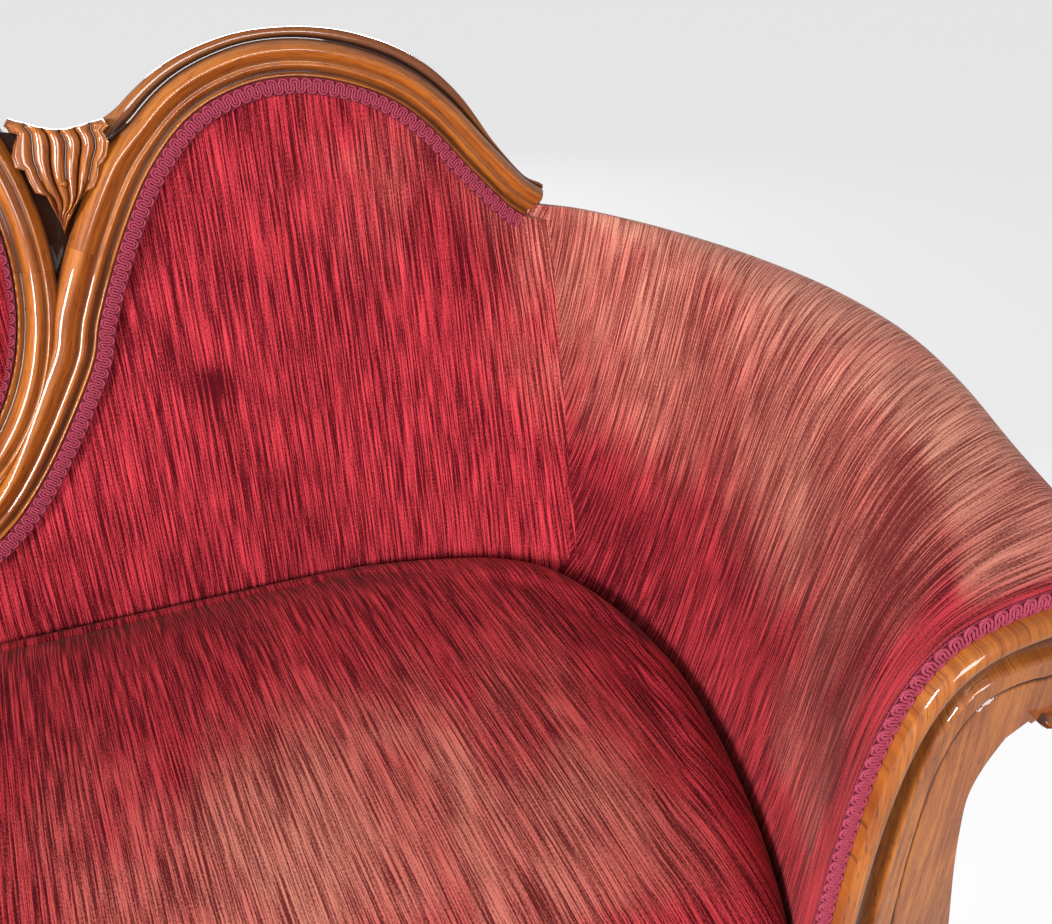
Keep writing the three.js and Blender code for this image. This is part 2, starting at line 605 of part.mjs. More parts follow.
// A profile moved inwards by its own padding at each point.
function inset(profile, padding) {
  return profile.map((p, i) => {
    const before = profile[Math.max(0, i - 1)];
    const after = profile[Math.min(profile.length - 1, i + 1)];
    const along = after.clone().sub(before).normalize();
    const depth = padding(i);
    return flat(p.x + along.y * depth, p.y - along.x * depth);
  });
}

// Arm facing: its outline follows the front end of the padding and turns round the scroll.
const front = armSection(1);
const FRONT_FACE = -SEAT_DEPTH - FACING_PROUD;
const FACING_BACK = FRONT_FACE + FACING_THICKNESS;
const facingHead = flat(front.foot.x + front.reach, front.crown - ROLL_RADIUS);
const headArc = (growth, from = Math.PI / 2, to = HEAD_END, count = HEAD_STEPS) => (
  steps(count).map((step) => {
    const angle = mix(from, to, step);
    const turned = (Math.PI / 2 - angle) / (Math.PI / 2 - HEAD_END);
    const radius = ROLL_RADIUS + growth + mix(-ARM_FRONT_PADDING, HEAD_GROWTH, turned);
    return flat(facingHead.x + radius * Math.cos(angle), facingHead.y + radius * Math.sin(angle));
  }));
const facingInner = (growth) => inset(
  front.profile, () => ARM_FRONT_PADDING + CLEARANCE - growth).slice(1, BEZIER_STEPS + 1).map(
  (p) => flat(p.x + front.foot.x, p.y));
function facingOutline(growth) {
  const under = last(headArc(0)).y;
  const waist = front.foot.x + ARM_FRONT_PADDING + FACING_WAIST;
  const footLevel = RAIL_TOP + CLEARANCE;
  const outer = facingEdgeShares.map(([up, out]) => flat(
    waist + out * FACING_WAIST + growth, mix(footLevel, under, up)));
  const inner = facingInner(growth);
  return [flat(inner[0].x, footLevel - growth), ...inner, ...headArc(growth),
    ...outer.reverse().map((p) => (p.y === footLevel ? flat(p.x, p.y - growth) : p))];
}
// A closed outline moved inwards all round.
function shrunk(outline, by) {
  return outline.map((p, i) => {
    const before = outline[(i + outline.length - 1) % outline.length];
    const after = outline[(i + 1) % outline.length];
    const a = p.clone().sub(before).normalize();
    const b = after.clone().sub(p).normalize();
    const side = flat(a.y + b.y, -a.x - b.x).normalize();
    return flat(p.x + side.x * by, p.y + side.y * by);
  });
}
const standing = (outline, y) => outline.map((p) => point(p.x, y, p.y));
const facingLoop = facingOutline(0);
const bevelRings = steps(BEVEL_STEPS).map((step) => standing(
  shrunk(facingLoop, FACING_BEVEL * (1 - Math.cos(step * Math.PI / 2))),
  FRONT_FACE + FACING_BEVEL * (1 - Math.sin(step * Math.PI / 2))));
const armFacing = loft([standing(facingLoop, FACING_BACK), ...bevelRings], facingLoop);
const grownLoop = facingOutline(CLEARANCE);
const facingSpace = loft([standing(grownLoop, FACING_BACK + CLEARANCE),
  standing(grownLoop, FRONT_FACE - OVERRUN)], grownLoop);
pair(settee, 'arm_facing', armFacing, walnut);

// Leaf under the scroll: a crescent along the head's underside.
function crescent(grow) {
  const outer = headArc(0, LEAF_START, HEAD_END, HEAD_STEPS / 2).map((p, i) => {
    const swell = Math.sin(Math.PI * (i + 1) / (HEAD_STEPS / 2 + 2)) * LEAF_SWELL + grow;
    return p.clone().addScaledVector(p.clone().sub(facingHead).normalize(), swell);
  });
  return [...outer, ...headArc(-grow, HEAD_END, LEAF_START, HEAD_STEPS / 2)];
}
const crescentPlate = (grow) => loft([standing(crescent(grow), FACING_BACK - FACING_BEVEL + grow),
  standing(crescent(grow), FRONT_FACE - grow)], crescent(grow));
const facingLeaf = largest(cut(crescentPlate(0), facingSpace));
pair(settee, 'facing_leaf', facingLeaf, walnut);

// Arm padding: a skin that rises from the deck, leans out and rolls over the arm.
const armSections = steps(ARM_STATIONS).map(armSection);
function armPadding(share) {
  const thin = Math.max(0, (share - FRONT_BLEND_SHARE) / (1 - FRONT_BLEND_SHARE));
  const wall = mix(ARM_PADDING, ARM_FRONT_PADDING, thin);
  return (i) => (i < 2 ? mix(ARM_FOOT_PADDING, ARM_FRONT_PADDING, thin) : wall);
}
const armFront = armSections.map((section) => section.profile.map((p) => inSection(section, p)));
const armInside = armSections.map((section, k) => {
  const points = inset(section.profile, armPadding(k / ARM_STATIONS));
  points[0].y = section.profile[0].y;
  return points.map((p) => inSection(section, p));
});
const rollMiddle = (section) => {
  const side = section.inner.getPoint(passes(
    section.inner, 'y', section.crown - ROLL_RADIUS + ARM_RAIL_SIDE / 2)).x;
  return Math.max(section.reach, side + ARM_PADDING + ARM_RAIL_SIDE / 2);
};
const rollCentre = (section) => inSection(section, flat(
  rollMiddle(section), section.crown - ROLL_RADIUS));
const armStops = armSections.slice(0, -2).map(rollCentre);
const postHalf = REAR_LEG_SIDE / 2;
const postFront = BACK_PADDING + CLEARANCE;
const alongBack = (z, depth) => planeY(z) + depth / Math.cos(BACK_LEAN);
const armRailPath = [
  point(REAR_POST_REACH + postHalf + CLEARANCE,
    alongBack(armStops[0].z, (postFront + BACK_RAIL_THICKNESS) / 2), armStops[0].z),
  ...armStops, rollCentre(front).setY(FACING_BACK + CLEARANCE)];
const squareRing = (centre, side, half) => [[-1, -1], [1, -1], [1, 1], [-1, 1]].map(([a, b]) => (
  centre.clone().addScaledVector(side, a * half).add(point(0, 0, b * half))));
const strip = [flat(0, 0), flat(0, 1), flat(1, 1), flat(1, 0)];
const armRailAt = (half) => loft(armRailPath.map((centre, i) => {
  const before = armRailPath[Math.max(0, i - 1)];
  const after = armRailPath[Math.min(armRailPath.length - 1, i + 1)];
  const along = after.clone().sub(before).setZ(0).normalize();
  const side = point(along.y, -along.x, 0);
  if (i === 0) side.set(0, -1, 0);
  if (i === armRailPath.length - 1) side.set(-1, 0, 0);
  return squareRing(centre, side, half);
}), strip);
const armRailSpace = armRailAt(ARM_RAIL_SIDE / 2 + CLEARANCE);
const armPad = largest(cut(slab(armFront, armInside), facingSpace, outOfBack(crestSpace),
  crescentPlate(CLEARANCE), armRailSpace));
pair(settee, 'arm_pad', armPad, velvet);

// Gimp along the facing, on the padding's front end.
const trimPath = [...facingInner(0), ...headArc(0, Math.PI / 2, 0, HEAD_STEPS / 2)];
const trimRings = trimPath.map((p, i) => {
  const before = trimPath[Math.max(0, i - 1)];
  const after = trimPath[Math.min(trimPath.length - 1, i + 1)];
  const along = after.clone().sub(before).normalize();
  const away = flat(-along.y, along.x);
  const near = -SEAT_DEPTH - CLEARANCE;
  return [[CURVE_CLEARANCE, near], [CURVE_CLEARANCE, near - GIMP_THICKNESS],
    [ARM_FRONT_PADDING, near - GIMP_THICKNESS], [ARM_FRONT_PADDING, near]].map(
    ([out, y]) => point(p.x + away.x * out, y, p.y + away.y * out));
});
pair(settee, 'facing_gimp', loft(trimRings, strip), gimp);

// Back padding: it fills the hump, lies in the back plane and curves forward to the arm.
const seam = armSections[0];
const seamAt = (z) => inSection(seam, seam.inner.getPoint(passes(seam.inner, 'y', z)));
const gapAt = (x) => gapLine.getPoint(passes(gapLine, 'x', x, 0, corner)).y;
const backDepth = BACK_PADDING / Math.cos(BACK_LEAN);
const seamTurn = seam.direction.x / seam.direction.y;
function backPoint(share, up) {
  const edge = humpEdge.getPoint(share);
  const away = outward(humpEdge, share);
  const top = flat(edge.x - away.x * CLEARANCE, edge.y - away.y * CLEARANCE);
  const across = top.x / HUMP_REACH;
  const foot = top.x + swell(across) * SPREAD_SHARE * HUMP_REACH;
  const seatZ = DECK_TOP + CLEARANCE;
  const topZ = SEAT_LINE + top.y * Math.cos(BACK_LEAN);
  const x = Math.max(CLEARANCE / 2, mix(foot, top.x, up));
  const z = up === 0 ? seatZ : mix(SEAT_LINE, topZ, (up - 1 / BACK_ROWS) / (1 - 1 / BACK_ROWS));
  const level = Math.max(z, SEAT_LINE);
  const reach = seamAt(level);
  const forward = (planeY(level) - reach.y) * gapAt(x * seam.foot.x / reach.x) / seam.foot.y;
  const rise = Math.max(0, (z - SEAT_LINE) / (topZ - SEAT_LINE));
  const crown = BACK_CROWN * Math.sqrt(swell(rise))
    * Math.min(1, (1 - share) / CORNER_FADE_SHARE) * Math.min(1, top.y / OVAL_HALF_WIDTH);
  return point(x, planeY(level) - forward - crown, z);
}
const postTop = SEAT_LINE + HUMP_END * Math.cos(BACK_LEAN);
function seamPoint(up) {
  const z = up === 0 ? DECK_TOP + CLEARANCE
    : mix(SEAT_LINE, postTop, (up - 1 / BACK_ROWS) / (1 - 1 / BACK_ROWS));
  return seamAt(Math.max(z, SEAT_LINE)).setZ(z);
}
const backFront = [...steps(BACK_COLUMNS).slice(0, -1).map(
  (share) => steps(BACK_ROWS).map((up) => backPoint(share, up))),
steps(BACK_ROWS).map((up) => seamPoint(up).setX(seamPoint(up).x - CLEARANCE))];
const backRear = backFront.map((column, i) => column.map((p) => {
  const y = planeY(p.z) + backDepth;
  return point(i === BACK_COLUMNS ? p.x + (y - p.y) * seamTurn : p.x, y, p.z);
}));
// Gimp beside the moulding: a flat section that lies inside an edge, over the padding's rim.
const trimSection = (grow, top) => [
  flat(-GIMP_WIDTH - grow, TRIM_LIFT - grow), flat(-GIMP_WIDTH - grow, top),
  flat(-CLEARANCE + grow, top), flat(-CLEARANCE + grow, TRIM_LIFT - grow),
];
const trimTop = TRIM_LIFT + GIMP_THICKNESS;
const humpGimp = alongHump(trimSection(0, trimTop), 0, 1, HUMP_GIMP_STEPS);
const humpGimpSpace = alongHump(trimSection(CLEARANCE, OVERRUN), 0, 1, HUMP_GIMP_STEPS);
const humpFill = cut(outOfBack(humpGimpSpace), block(
  point(-OVERRUN, -ARM_REACH, 0), point(0, ARM_REACH, 2 * ARM_REACH)));
const backPad = largest(cut(slab(backFront, backRear), humpFill, outOfBack(crestSpace),
  outOfBack(stileSpace), armRailSpace));
pair(settee, 'back_pad', backPad, velvet);
pair(back, 'hump_gimp', humpGimp, gimp);

// Medallion padding: an oval dome in the ring's opening.
const ovalRing = (size, height) => steps(OVAL_STEPS).slice(0, -1).map((turn) => point(
  (OVAL_HALF_WIDTH - CURVE_CLEARANCE) * size * Math.cos(turn * 2 * Math.PI),
  OVAL_RISE + (OVAL_HALF_HEIGHT - CURVE_CLEARANCE) * size * Math.sin(turn * 2 * Math.PI), height));
const domeRings = [ovalRing(1, -BACK_PADDING), ovalRing(1, TRIM_LIFT),
  ...steps(OVAL_RINGS).slice(1).map((step) => ovalRing(
    Math.cos(step * Math.PI / 2 * (1 - 1 / OVAL_STEPS)),
    TRIM_LIFT + OVAL_CROWN * Math.sin(step * Math.PI / 2)))];
const ovalDome = loft(domeRings, domeRings[0].map((p) => flat(p.x, p.y)));
const ovalGimpSpace = aroundOval(
  trimSection(CLEARANCE, OVERRUN), 0, 2 * Math.PI, OVAL_STEPS, true);
piece(back, 'medallion_pad', largest(cut(ovalDome, ovalGimpSpace)), velvet);
piece(back, 'medallion_gimp', aroundOval(
  trimSection(0, trimTop), 0, 2 * Math.PI, OVAL_STEPS, true), gimp);

// Seat plan: half of it between the centre line, the back, the arm and the bowed front.
const frontEdge = (x) => -SEAT_DEPTH - SEAT_BOW * (1 + Math.cos(Math.PI * x / front.foot.x)) / 2;
const SPLIT = passes(gapLine, 'x', seam.foot.x - CORNER_SHARE * SEAT_DEPTH / 2, 0, corner);
function planPoint(across, up) {
  const width = front.foot.x - SEAT_GAP;
  const backEdge = gapLine.getPoint(SPLIT * across);
  const side = gapLine.getPoint(mix(1, SPLIT, up));
  const tip = gapLine.getPoint(SPLIT);
  const shape = (axis, frontValue, centreValue, frontTip, frontStart) => (
    (1 - up) * frontValue + up * backEdge[axis] + (1 - across) * centreValue
    + across * side[axis] - (1 - across) * (1 - up) * frontStart - across * (1 - up) * frontTip
    - across * up * tip[axis]);
  const x = shape('x', width * across, 0, front.foot.x, 0);
  const y = shape('y', frontEdge(width * across), frontEdge(0) * (1 - up), -SEAT_DEPTH,
    frontEdge(0));
  return flat(x, y);
}
function seatPoint(across, up, top) {
  const side = Math.abs(across);
  const plan = planPoint(side, up);
  const nearBack = 1 - SEAT_GAP / SEAT_DEPTH;
  const x = Math.sign(across) * plan.x * (1 - SEAT_GAP / ARM_REACH);
  const y = plan.y * nearBack - SEAT_GAP;
  const frontDrop = (1 - up) ** FRONT_POWER;
  const edge = Math.sqrt((1 - side ** SIDE_POWER) * (1 - up ** BACK_POWER) * (1 - frontDrop));
  const rim = SEAT_LINE - 2 * TRIM_LIFT - frontDrop * DECK_THICKNESS;
  return point(x, y, top ? rim + (SEAT_CROWN + 2 * TRIM_LIFT) * edge : seatUnder(up));
}
const lipShare = FRONT_LIP / SEAT_DEPTH;
const seatUnder = (up) => (up <= lipShare ? RAIL_TOP : DECK_TOP) + CLEARANCE;
const stepShare = lipShare + STEP_SHARE;
const seatRows = [0, lipShare / 2, lipShare, stepShare, ...steps(SEAT_ROWS - 4).slice(1).map(
  (share) => mix(stepShare, 1, share))];
const seatColumns = steps(2 * SEAT_COLUMNS).map((share) => mix(
  2 * share - 1, Math.sin((share - 1 / 2) * Math.PI), EDGE_BIAS_SHARE));
const seatGrid = (top) => seatColumns.map((across) => seatRows.map(
  (up) => seatPoint(across, up, top)));
piece(settee, 'seat_pad', slab(seatGrid(true), seatGrid(false)), velvet);

// An outline in plan outside the seat: the gap line moved outwards, then the front.
function deckOutline(outset, frontSetback, backEdge) {
  const side = steps(PLAN_STEPS).map((t) => {
    const here = gapLine.getPoint(t);
    const tangent = gapLine.getTangent(t);
    return flat(here.x - tangent.y * outset, Math.min(here.y + tangent.x * outset, backEdge));
  }).filter((p) => p.x > 0 && p.y > -SEAT_DEPTH + frontSetback);
  const edge = steps(PLAN_STEPS / 2).map((t) => {
    const x = front.foot.x * (1 - t);
    return flat(x, frontEdge(x) + frontSetback);
  });
  const half = [...side, ...edge.slice(0, -1)];
  return [flat(0, side[0].y), ...half, flat(0, frontEdge(0) + frontSetback),
    ...half.reverse().map((p) => flat(-p.x, p.y))];
}

// Rear legs with the posts that carry the crest rails, one piece from the floor up.
const RAIL_FOOT = RAIL_TOP - RAIL_HEIGHT;
const rearSide = (depth, taper) => steps(REAR_LEG_STEPS).map((share) => {
  const z = RAIL_FOOT * share;
  const rake = REAR_LEG_RAKE * (1 - share) ** RAKE_POWER;
  return flat(alongBack(RAIL_FOOT, depth) + rake + taper * (1 - share), z);
});
const legTaper = ANKLE_RADIUS / 4;
const rearOutline = [
  ...rearSide(postFront, legTaper), flat(alongBack(postTop, postFront), postTop),
  flat(alongBack(postTop, BACK_RAIL_THICKNESS), postTop),
  ...rearSide(BACK_RAIL_THICKNESS, -legTaper).reverse(),
];
// A side profile in depth and height given a width across.
const profiled = (outline, from, to) => loft(
  [from, to].map((x) => outline.map((p) => point(x, p.x, p.y))), outline);
const rearBlank = profiled(rearOutline, REAR_POST_REACH - postHalf, REAR_POST_REACH + postHalf);

// Seat rails, joined to the legs with tenons.
const tenonLow = RAIL_FOOT + TENON_THICKNESS;
const tenonHigh = RAIL_TOP - TENON_THICKNESS;
const tenon = (from, to, grow) => block(
  point(from.x - grow, from.y - grow, tenonLow - grow),
  point(to.x + grow, to.y + grow, tenonHigh + grow));
const postInner = REAR_POST_REACH - postHalf;
const railMiddleY = alongBack((tenonLow + tenonHigh) / 2, (postFront + BACK_RAIL_THICKNESS) / 2);
const backTenon = (grow) => tenon(
  flat(postInner - TENON_LENGTH, railMiddleY - TENON_THICKNESS / 2),
  flat(postInner + TENON_LENGTH, railMiddleY + TENON_THICKNESS / 2), grow);
const railOutline = [
  flat(alongBack(RAIL_FOOT, postFront), RAIL_FOOT), flat(alongBack(RAIL_TOP, postFront), RAIL_TOP),
  flat(alongBack(RAIL_TOP, BACK_RAIL_THICKNESS), RAIL_TOP),
  flat(alongBack(RAIL_FOOT, BACK_RAIL_THICKNESS), RAIL_FOOT),
];
const backRail = join(
  profiled(railOutline, CLEARANCE - postInner, postInner - CLEARANCE),
  backTenon(0), mirrored(backTenon(0)));
piece(settee, 'back_seat_rail', backRail, beech);

const railLine = new THREE.SplineCurve(scaled(railShares, ARM_REACH, -SEAT_DEPTH));
const offsetLine = (curve, by, count) => steps(count).map((t) => {
  const here = curve.getPoint(t);
  const tangent = curve.getTangent(t);
  return flat(here.x + tangent.y * by, here.y - tangent.x * by);
});
const blockInner = front.foot.x + ARM_FRONT_PADDING;
const blockOuter = blockInner + LEG_BLOCK_WIDTH;
const blockBack = FRONT_FACE + LEG_BLOCK_DEPTH;
const sideTenon = (grow) => tenon(
  flat(railShares[0][0] * ARM_REACH - TENON_THICKNESS / 2, blockBack - TENON_LENGTH),
  flat(railShares[0][0] * ARM_REACH + TENON_THICKNESS / 2, blockBack + TENON_LENGTH), grow);
const rearSpace = join(
  profiled(rearOutline.map((p) => flat(p.x + Math.sign(p.x - railMiddleY) * CLEARANCE, p.y)),
    REAR_POST_REACH - postHalf - CLEARANCE, REAR_POST_REACH + postHalf + CLEARANCE));
const sideRail = join(largest(cut(
  plate([...offsetLine(railLine, RAIL_THICKNESS / 2, RAIL_STEPS),
    ...offsetLine(railLine, -RAIL_THICKNESS / 2, RAIL_STEPS).reverse()], RAIL_FOOT, RAIL_TOP),
  rearSpace, block(point(0, -ARM_REACH * 2, 0),
    point(2 * ARM_REACH, blockBack + CLEARANCE, ARM_REACH)),
  block(point(0, railMiddleY, 0), point(2 * ARM_REACH, ARM_REACH, ARM_REACH)))), sideTenon(0));
pair(settee, 'side_seat_rail', sideRail, beech);

const railBack = APRON_THICKNESS - APRON_PROUD + CLEARANCE;
// A band along the seat's front: its two faces lie this far behind that line.
const frontBand = (near, far, low, high, half) => {
  const spans = steps(2 * RAIL_STEPS).map((share) => mix(-half, half, share));
  const face = (behind) => spans.map((x) => [low(x), high].map((z) => point(
    x, frontEdge(Math.min(Math.abs(x), front.foot.x)) + behind, z)));
  return slab(face(near), face(far));
};
const frontTenonY = (blockBack + FRONT_FACE) / 2 + TENON_THICKNESS / 2;
const frontTenon = (grow) => tenon(
  flat(blockInner - TENON_LENGTH / 2, frontTenonY - TENON_THICKNESS / 2),
  flat(blockInner + TENON_LENGTH, frontTenonY + TENON_THICKNESS / 2), grow);
const railHalf = blockInner - CLEARANCE;
piece(settee, 'front_seat_rail', join(
  frontBand(railBack, railBack + RAIL_THICKNESS / 2 + TENON_THICKNESS, () => RAIL_FOOT, RAIL_TOP,
    railHalf), frontTenon(0), mirrored(frontTenon(0))), beech);
const apronFoot = (x) => RAIL_TOP - APRON_DEPTH
  - APRON_DIP * (1 + Math.cos(2 * Math.PI * x / railHalf)) / 2;
const apron = frontBand(-APRON_PROUD, railBack - CLEARANCE, apronFoot, RAIL_TOP, railHalf);
const carvingMiddle = RAIL_TOP - APRON_DEPTH * CARVING_MIDDLE_SHARE;
const carvingOutline = bothSides(scaled(carvingShares, CARVING_HALF_WIDTH, CARVING_HEIGHT)).map(
  (p) => flat(p.x, carvingMiddle - CARVING_HEIGHT / 2 + p.y));
const carving = carved(carvingOutline, 0, CARVING_RELIEF / 2, CARVING_RELIEF);
carving.rotateX(Math.PI / 2);
carving.translate(0, frontEdge(0) - APRON_PROUD + CARVING_RELIEF / 2, 0);
const apronBed = block(
  point(-CARVING_HALF_WIDTH - CLEARANCE, frontEdge(0) - ARM_REACH, 0),
  point(CARVING_HALF_WIDTH + CLEARANCE, frontEdge(0) - APRON_PROUD + CARVING_RELIEF / 2
    + CLEARANCE, RAIL_TOP - APRON_THICKNESS / 2));
piece(settee, 'front_apron', cut(apron, apronBed), walnut);
piece(settee, 'apron_carving', carving, walnut);
const trimBack = -SEAT_GAP - CLEARANCE;
const trimFoot = RAIL_TOP + CLEARANCE;
piece(settee, 'seat_gimp', frontBand(trimBack, trimBack - GIMP_THICKNESS, () => trimFoot,
  trimFoot + GIMP_WIDTH, front.foot.x - GIMP_WIDTH), gimp);

// Front legs: a block at the seat rails, a knee, an ankle and a scrolled foot.
const legCentre = flat((blockInner + blockOuter) / 2, (FRONT_FACE + blockBack) / 2);
const blockFoot = RAIL_TOP - LEG_BLOCK_HEIGHT;
function legRing(z, forward, halfWidth, halfDepth, squareness) {
  return steps(LEG_SIDES).slice(0, -1).map((share) => {
    const angle = (share + 1 / 2 / LEG_SIDES) * 2 * Math.PI;
    const round = (value) => Math.sign(value) * Math.abs(value) ** (2 / squareness);
    return point(legCentre.x + halfWidth * round(Math.cos(angle)),
      legCentre.y - forward + halfDepth * round(Math.sin(angle)), z);
  });
}
const kneeRings = kneeShares.map(([up, forward, wide, deep], i) => legRing(
  blockFoot * up, forward * KNEE_PROUD, wide * LEG_BLOCK_WIDTH / 2, deep * LEG_BLOCK_DEPTH / 2,
  mix(KNEE_SQUARENESS, 2, Math.min(1, i / KNEE_ROWS))));
const toeRings = toeShares.map(([up, forward, size]) => {
  const radius = mix(ANKLE_RADIUS, TOE_RADIUS, size);
  return legRing(TOE_HEIGHT * up, forward * TOE_FORWARD, radius, radius, 2);
});
const legRings = [
  legRing(RAIL_TOP, 0, LEG_BLOCK_WIDTH / 2, LEG_BLOCK_DEPTH / 2, BLOCK_SQUARENESS),
  legRing(blockFoot + CARVING_RELIEF, 0, LEG_BLOCK_WIDTH / 2, LEG_BLOCK_DEPTH / 2,
    BLOCK_SQUARENESS), ...kneeRings, ...toeRings];
pair(settee, 'front_leg', cut(loft(legRings, legRings[0].map((p) => flat(p.x, p.y))),
  frontTenon(CLEARANCE), sideTenon(CLEARANCE)), walnut);
pair(settee, 'rear_leg', largest(cut(
  rearBlank, backTenon(CLEARANCE), outOfBack(crestSpace))), walnut);

// Deck over the springs, webbing and dust cover under the rails.
const deckRear = alongBack(RAIL_TOP, postFront) - CLEARANCE;
piece(settee, 'seat_deck', largest(cut(
  plate(deckOutline(DECK_OVERHANG, FRONT_LIP + DECK_THICKNESS, deckRear),
    RAIL_TOP + CLEARANCE, DECK_TOP),
  facingSpace, mirrored(facingSpace), rearSpace, mirrored(rearSpace))), jute);

const webbingTop = RAIL_FOOT - CLEARANCE;
const webbingFoot = webbingTop - WEBBING_THICKNESS;
const laneEnds = (x) => [frontEdge(x) + railBack + RAIL_THICKNESS / 4,
  alongBack(RAIL_FOOT, BACK_RAIL_THICKNESS) - CLOTH_THICKNESS];
const lanes = steps(WEBBING_LANES - 1).map((share) => {
  const x = mix(-1, 1, share) * (blockInner - WEBBING_WIDTH * 2);
  const [low, high] = laneEnds(Math.abs(x));
  return block(point(x - WEBBING_WIDTH / 2, low, webbingFoot),
    point(x + WEBBING_WIDTH / 2, high, webbingTop));
});
const rows = steps(WEBBING_ROWS - 1).map((share) => {
  const y = -SEAT_DEPTH * mix(WEBBING_EDGE_SHARE, 1 - WEBBING_EDGE_SHARE, share);
  const half = railLine.getPoint(passes(railLine, 'y', y)).x;
  return block(point(-half, y - WEBBING_WIDTH / 2, webbingFoot),
    point(half, y + WEBBING_WIDTH / 2, webbingTop));
});
piece(settee, 'seat_webbing', join(lanes[0], ...lanes.slice(1), ...rows), jute);
const coverTop = webbingFoot - CLEARANCE;
const coverEdge = -SEAT_DEPTH + LEG_BLOCK_DEPTH + GIMP_WIDTH;
const coverHalf = (y) => railLine.getPoint(passes(railLine, 'y', y)).x;
const coverSide = steps(RAIL_STEPS / 2).map((share) => {
  const y = mix(coverEdge, -LEG_BLOCK_DEPTH, share);
  return flat(coverHalf(y), y);
});
const coverFront = steps(RAIL_STEPS / 2).map((share) => {
  const x = mix(-1, 1, share) * (blockInner - TENON_LENGTH);
  return flat(x, frontEdge(Math.abs(x)) + railBack + TENON_THICKNESS);
});
const coverBack = alongBack(RAIL_FOOT, postFront);
const coverCorner = postInner - TENON_THICKNESS;
piece(settee, 'dust_cover', plate([
  ...coverFront, flat(last(coverFront).x, coverEdge), ...coverSide,
  flat(coverCorner, coverBack), flat(-coverCorner, coverBack),
  ...coverSide.reverse().map((p) => flat(-p.x, p.y)), flat(-last(coverFront).x, coverEdge),
], coverTop - CLOTH_THICKNESS, coverTop), cloth);

// Springs: waisted coils from the webbing to the deck.
function spring() {
  const low = webbingTop + CLEARANCE + SPRING_WIRE / 2;
  const high = RAIL_TOP - SPRING_WIRE / 2;
  const rings = steps(SPRING_TURNS * SPRING_STEPS).map((share) => {
    const angle = share * SPRING_TURNS * 2 * Math.PI;
    const radius = mix(SPRING_WAIST, SPRING_RADIUS, (2 * share - 1) ** 2);
    const z = mix(low, high, share);
    return steps(SPRING_SIDES).slice(0, -1).map((turn) => {
      const around = turn * 2 * Math.PI + Math.PI / SPRING_SIDES;
      const reach = radius + Math.cos(around) * SPRING_WIRE / Math.SQRT2;
      return point(Math.cos(angle) * reach, Math.sin(angle) * reach,
        z + Math.sin(around) * SPRING_WIRE / Math.SQRT2);
    });
  });
  return loft(rings, strip);
}
for (let row = 0; row < SPRING_ROWS; row++) {
  for (let column = 0; column < SPRING_COLUMNS; column++) {
    const across = (column + 1 / 2) / SPRING_COLUMNS * 2 - 1;
    const deep = (row + 1 / 2) / SPRING_ROWS;
    const coil = spring();
    coil.translate(across * (blockInner - WEBBING_WIDTH),
      -SEAT_DEPTH * mix(SPRING_EDGE_SHARE, 1 - SPRING_EDGE_SHARE, deep), 0);
    piece(settee, `seat_spring_${row * SPRING_COLUMNS + column + 1}`, coil, steel);
  }
}

// Corner blocks, glued between the rails.
const innerRail = (y) => {
  const t = passes(railLine, 'y', y);
  const here = railLine.getPoint(t);
  const tangent = railLine.getTangent(t);
  return here.x - tangent.y * RAIL_THICKNESS / 2;
};
const blockLow = tenonLow + TENON_THICKNESS / 2;
const blockHigh = tenonHigh;
const frontBlockY = blockBack + CLEARANCE;
const sideRailSpace = plate([
  ...offsetLine(railLine, RAIL_THICKNESS / 2 + CLEARANCE, RAIL_STEPS),
  ...offsetLine(railLine, -RAIL_THICKNESS / 2 - CLEARANCE, RAIL_STEPS).reverse()], 0, RAIL_TOP);
pair(settee, 'front_corner_block', cut(plate([
  flat(innerRail(frontBlockY + CORNER_BLOCK), frontBlockY + CORNER_BLOCK),
  flat(blockInner - CORNER_BLOCK / 3, frontBlockY),
  flat(innerRail(frontBlockY), frontBlockY)], blockLow, blockHigh), sideRailSpace), beech);
const rearBlockY = alongBack(blockLow, postFront) - CLEARANCE;
pair(settee, 'rear_corner_block', cut(plate([
  flat(postInner - CORNER_BLOCK, rearBlockY),
  flat(innerRail(rearBlockY - CORNER_BLOCK), rearBlockY - CORNER_BLOCK),
  flat(innerRail(rearBlockY), rearBlockY)],
blockLow, blockHigh), sideRailSpace), beech);

// Uprights inside the back, from the seat rail to the show-wood rails.
const upright = (x, top) => {
  const foot = SEAT_LINE + CLEARANCE * 2;
  const low = (RAIL_TOP + CLEARANCE * 2 - foot) / Math.cos(BACK_LEAN)
    + BACK_RAIL_THICKNESS * Math.tan(BACK_LEAN);
  return largest(cut(block(point(x - postHalf, low, -BACK_RAIL_THICKNESS),
    point(x + postHalf, top, -postFront)), crestSpace, stileSpace));
};
const humpPeak = humpEdge.getPoint(humpTop).x;
pair(back, 'hump_upright', upright(humpPeak, HUMP_RISE + REAR_BAND), beech);
const middlePost = upright(0, saddleRise + MOULDING_WIDTH);
piece(back, 'centre_upright', largest(cut(middlePost, mirrored(stileSpace), ringSpace)), beech);

// Arm frame: a rail inside each roll and a stump under it.
pair(settee, 'arm_rail', armRailAt(ARM_RAIL_SIDE / 2), beech);
const stumpSection = armSection(STUMP_PLACE_SHARE);
const stumpHead = rollCentre(stumpSection);
const stumpFoot = RAIL_TOP + CLEARANCE;
const stumpRings = stumpShares.map(([out, up]) => {
  const middle = inSection(stumpSection, flat(stumpSection.reach * out, 0));
  const z = mix(stumpFoot, stumpHead.z, up);
  return strip.map((p) => point(middle.x + (p.x - 1 / 2) * STUMP_THICKNESS,
    stumpHead.y + (p.y - 1 / 2) * STUMP_WIDTH, z));
});
pair(settee, 'arm_stump', largest(cut(loft(stumpRings, strip), armRailSpace)), beech);

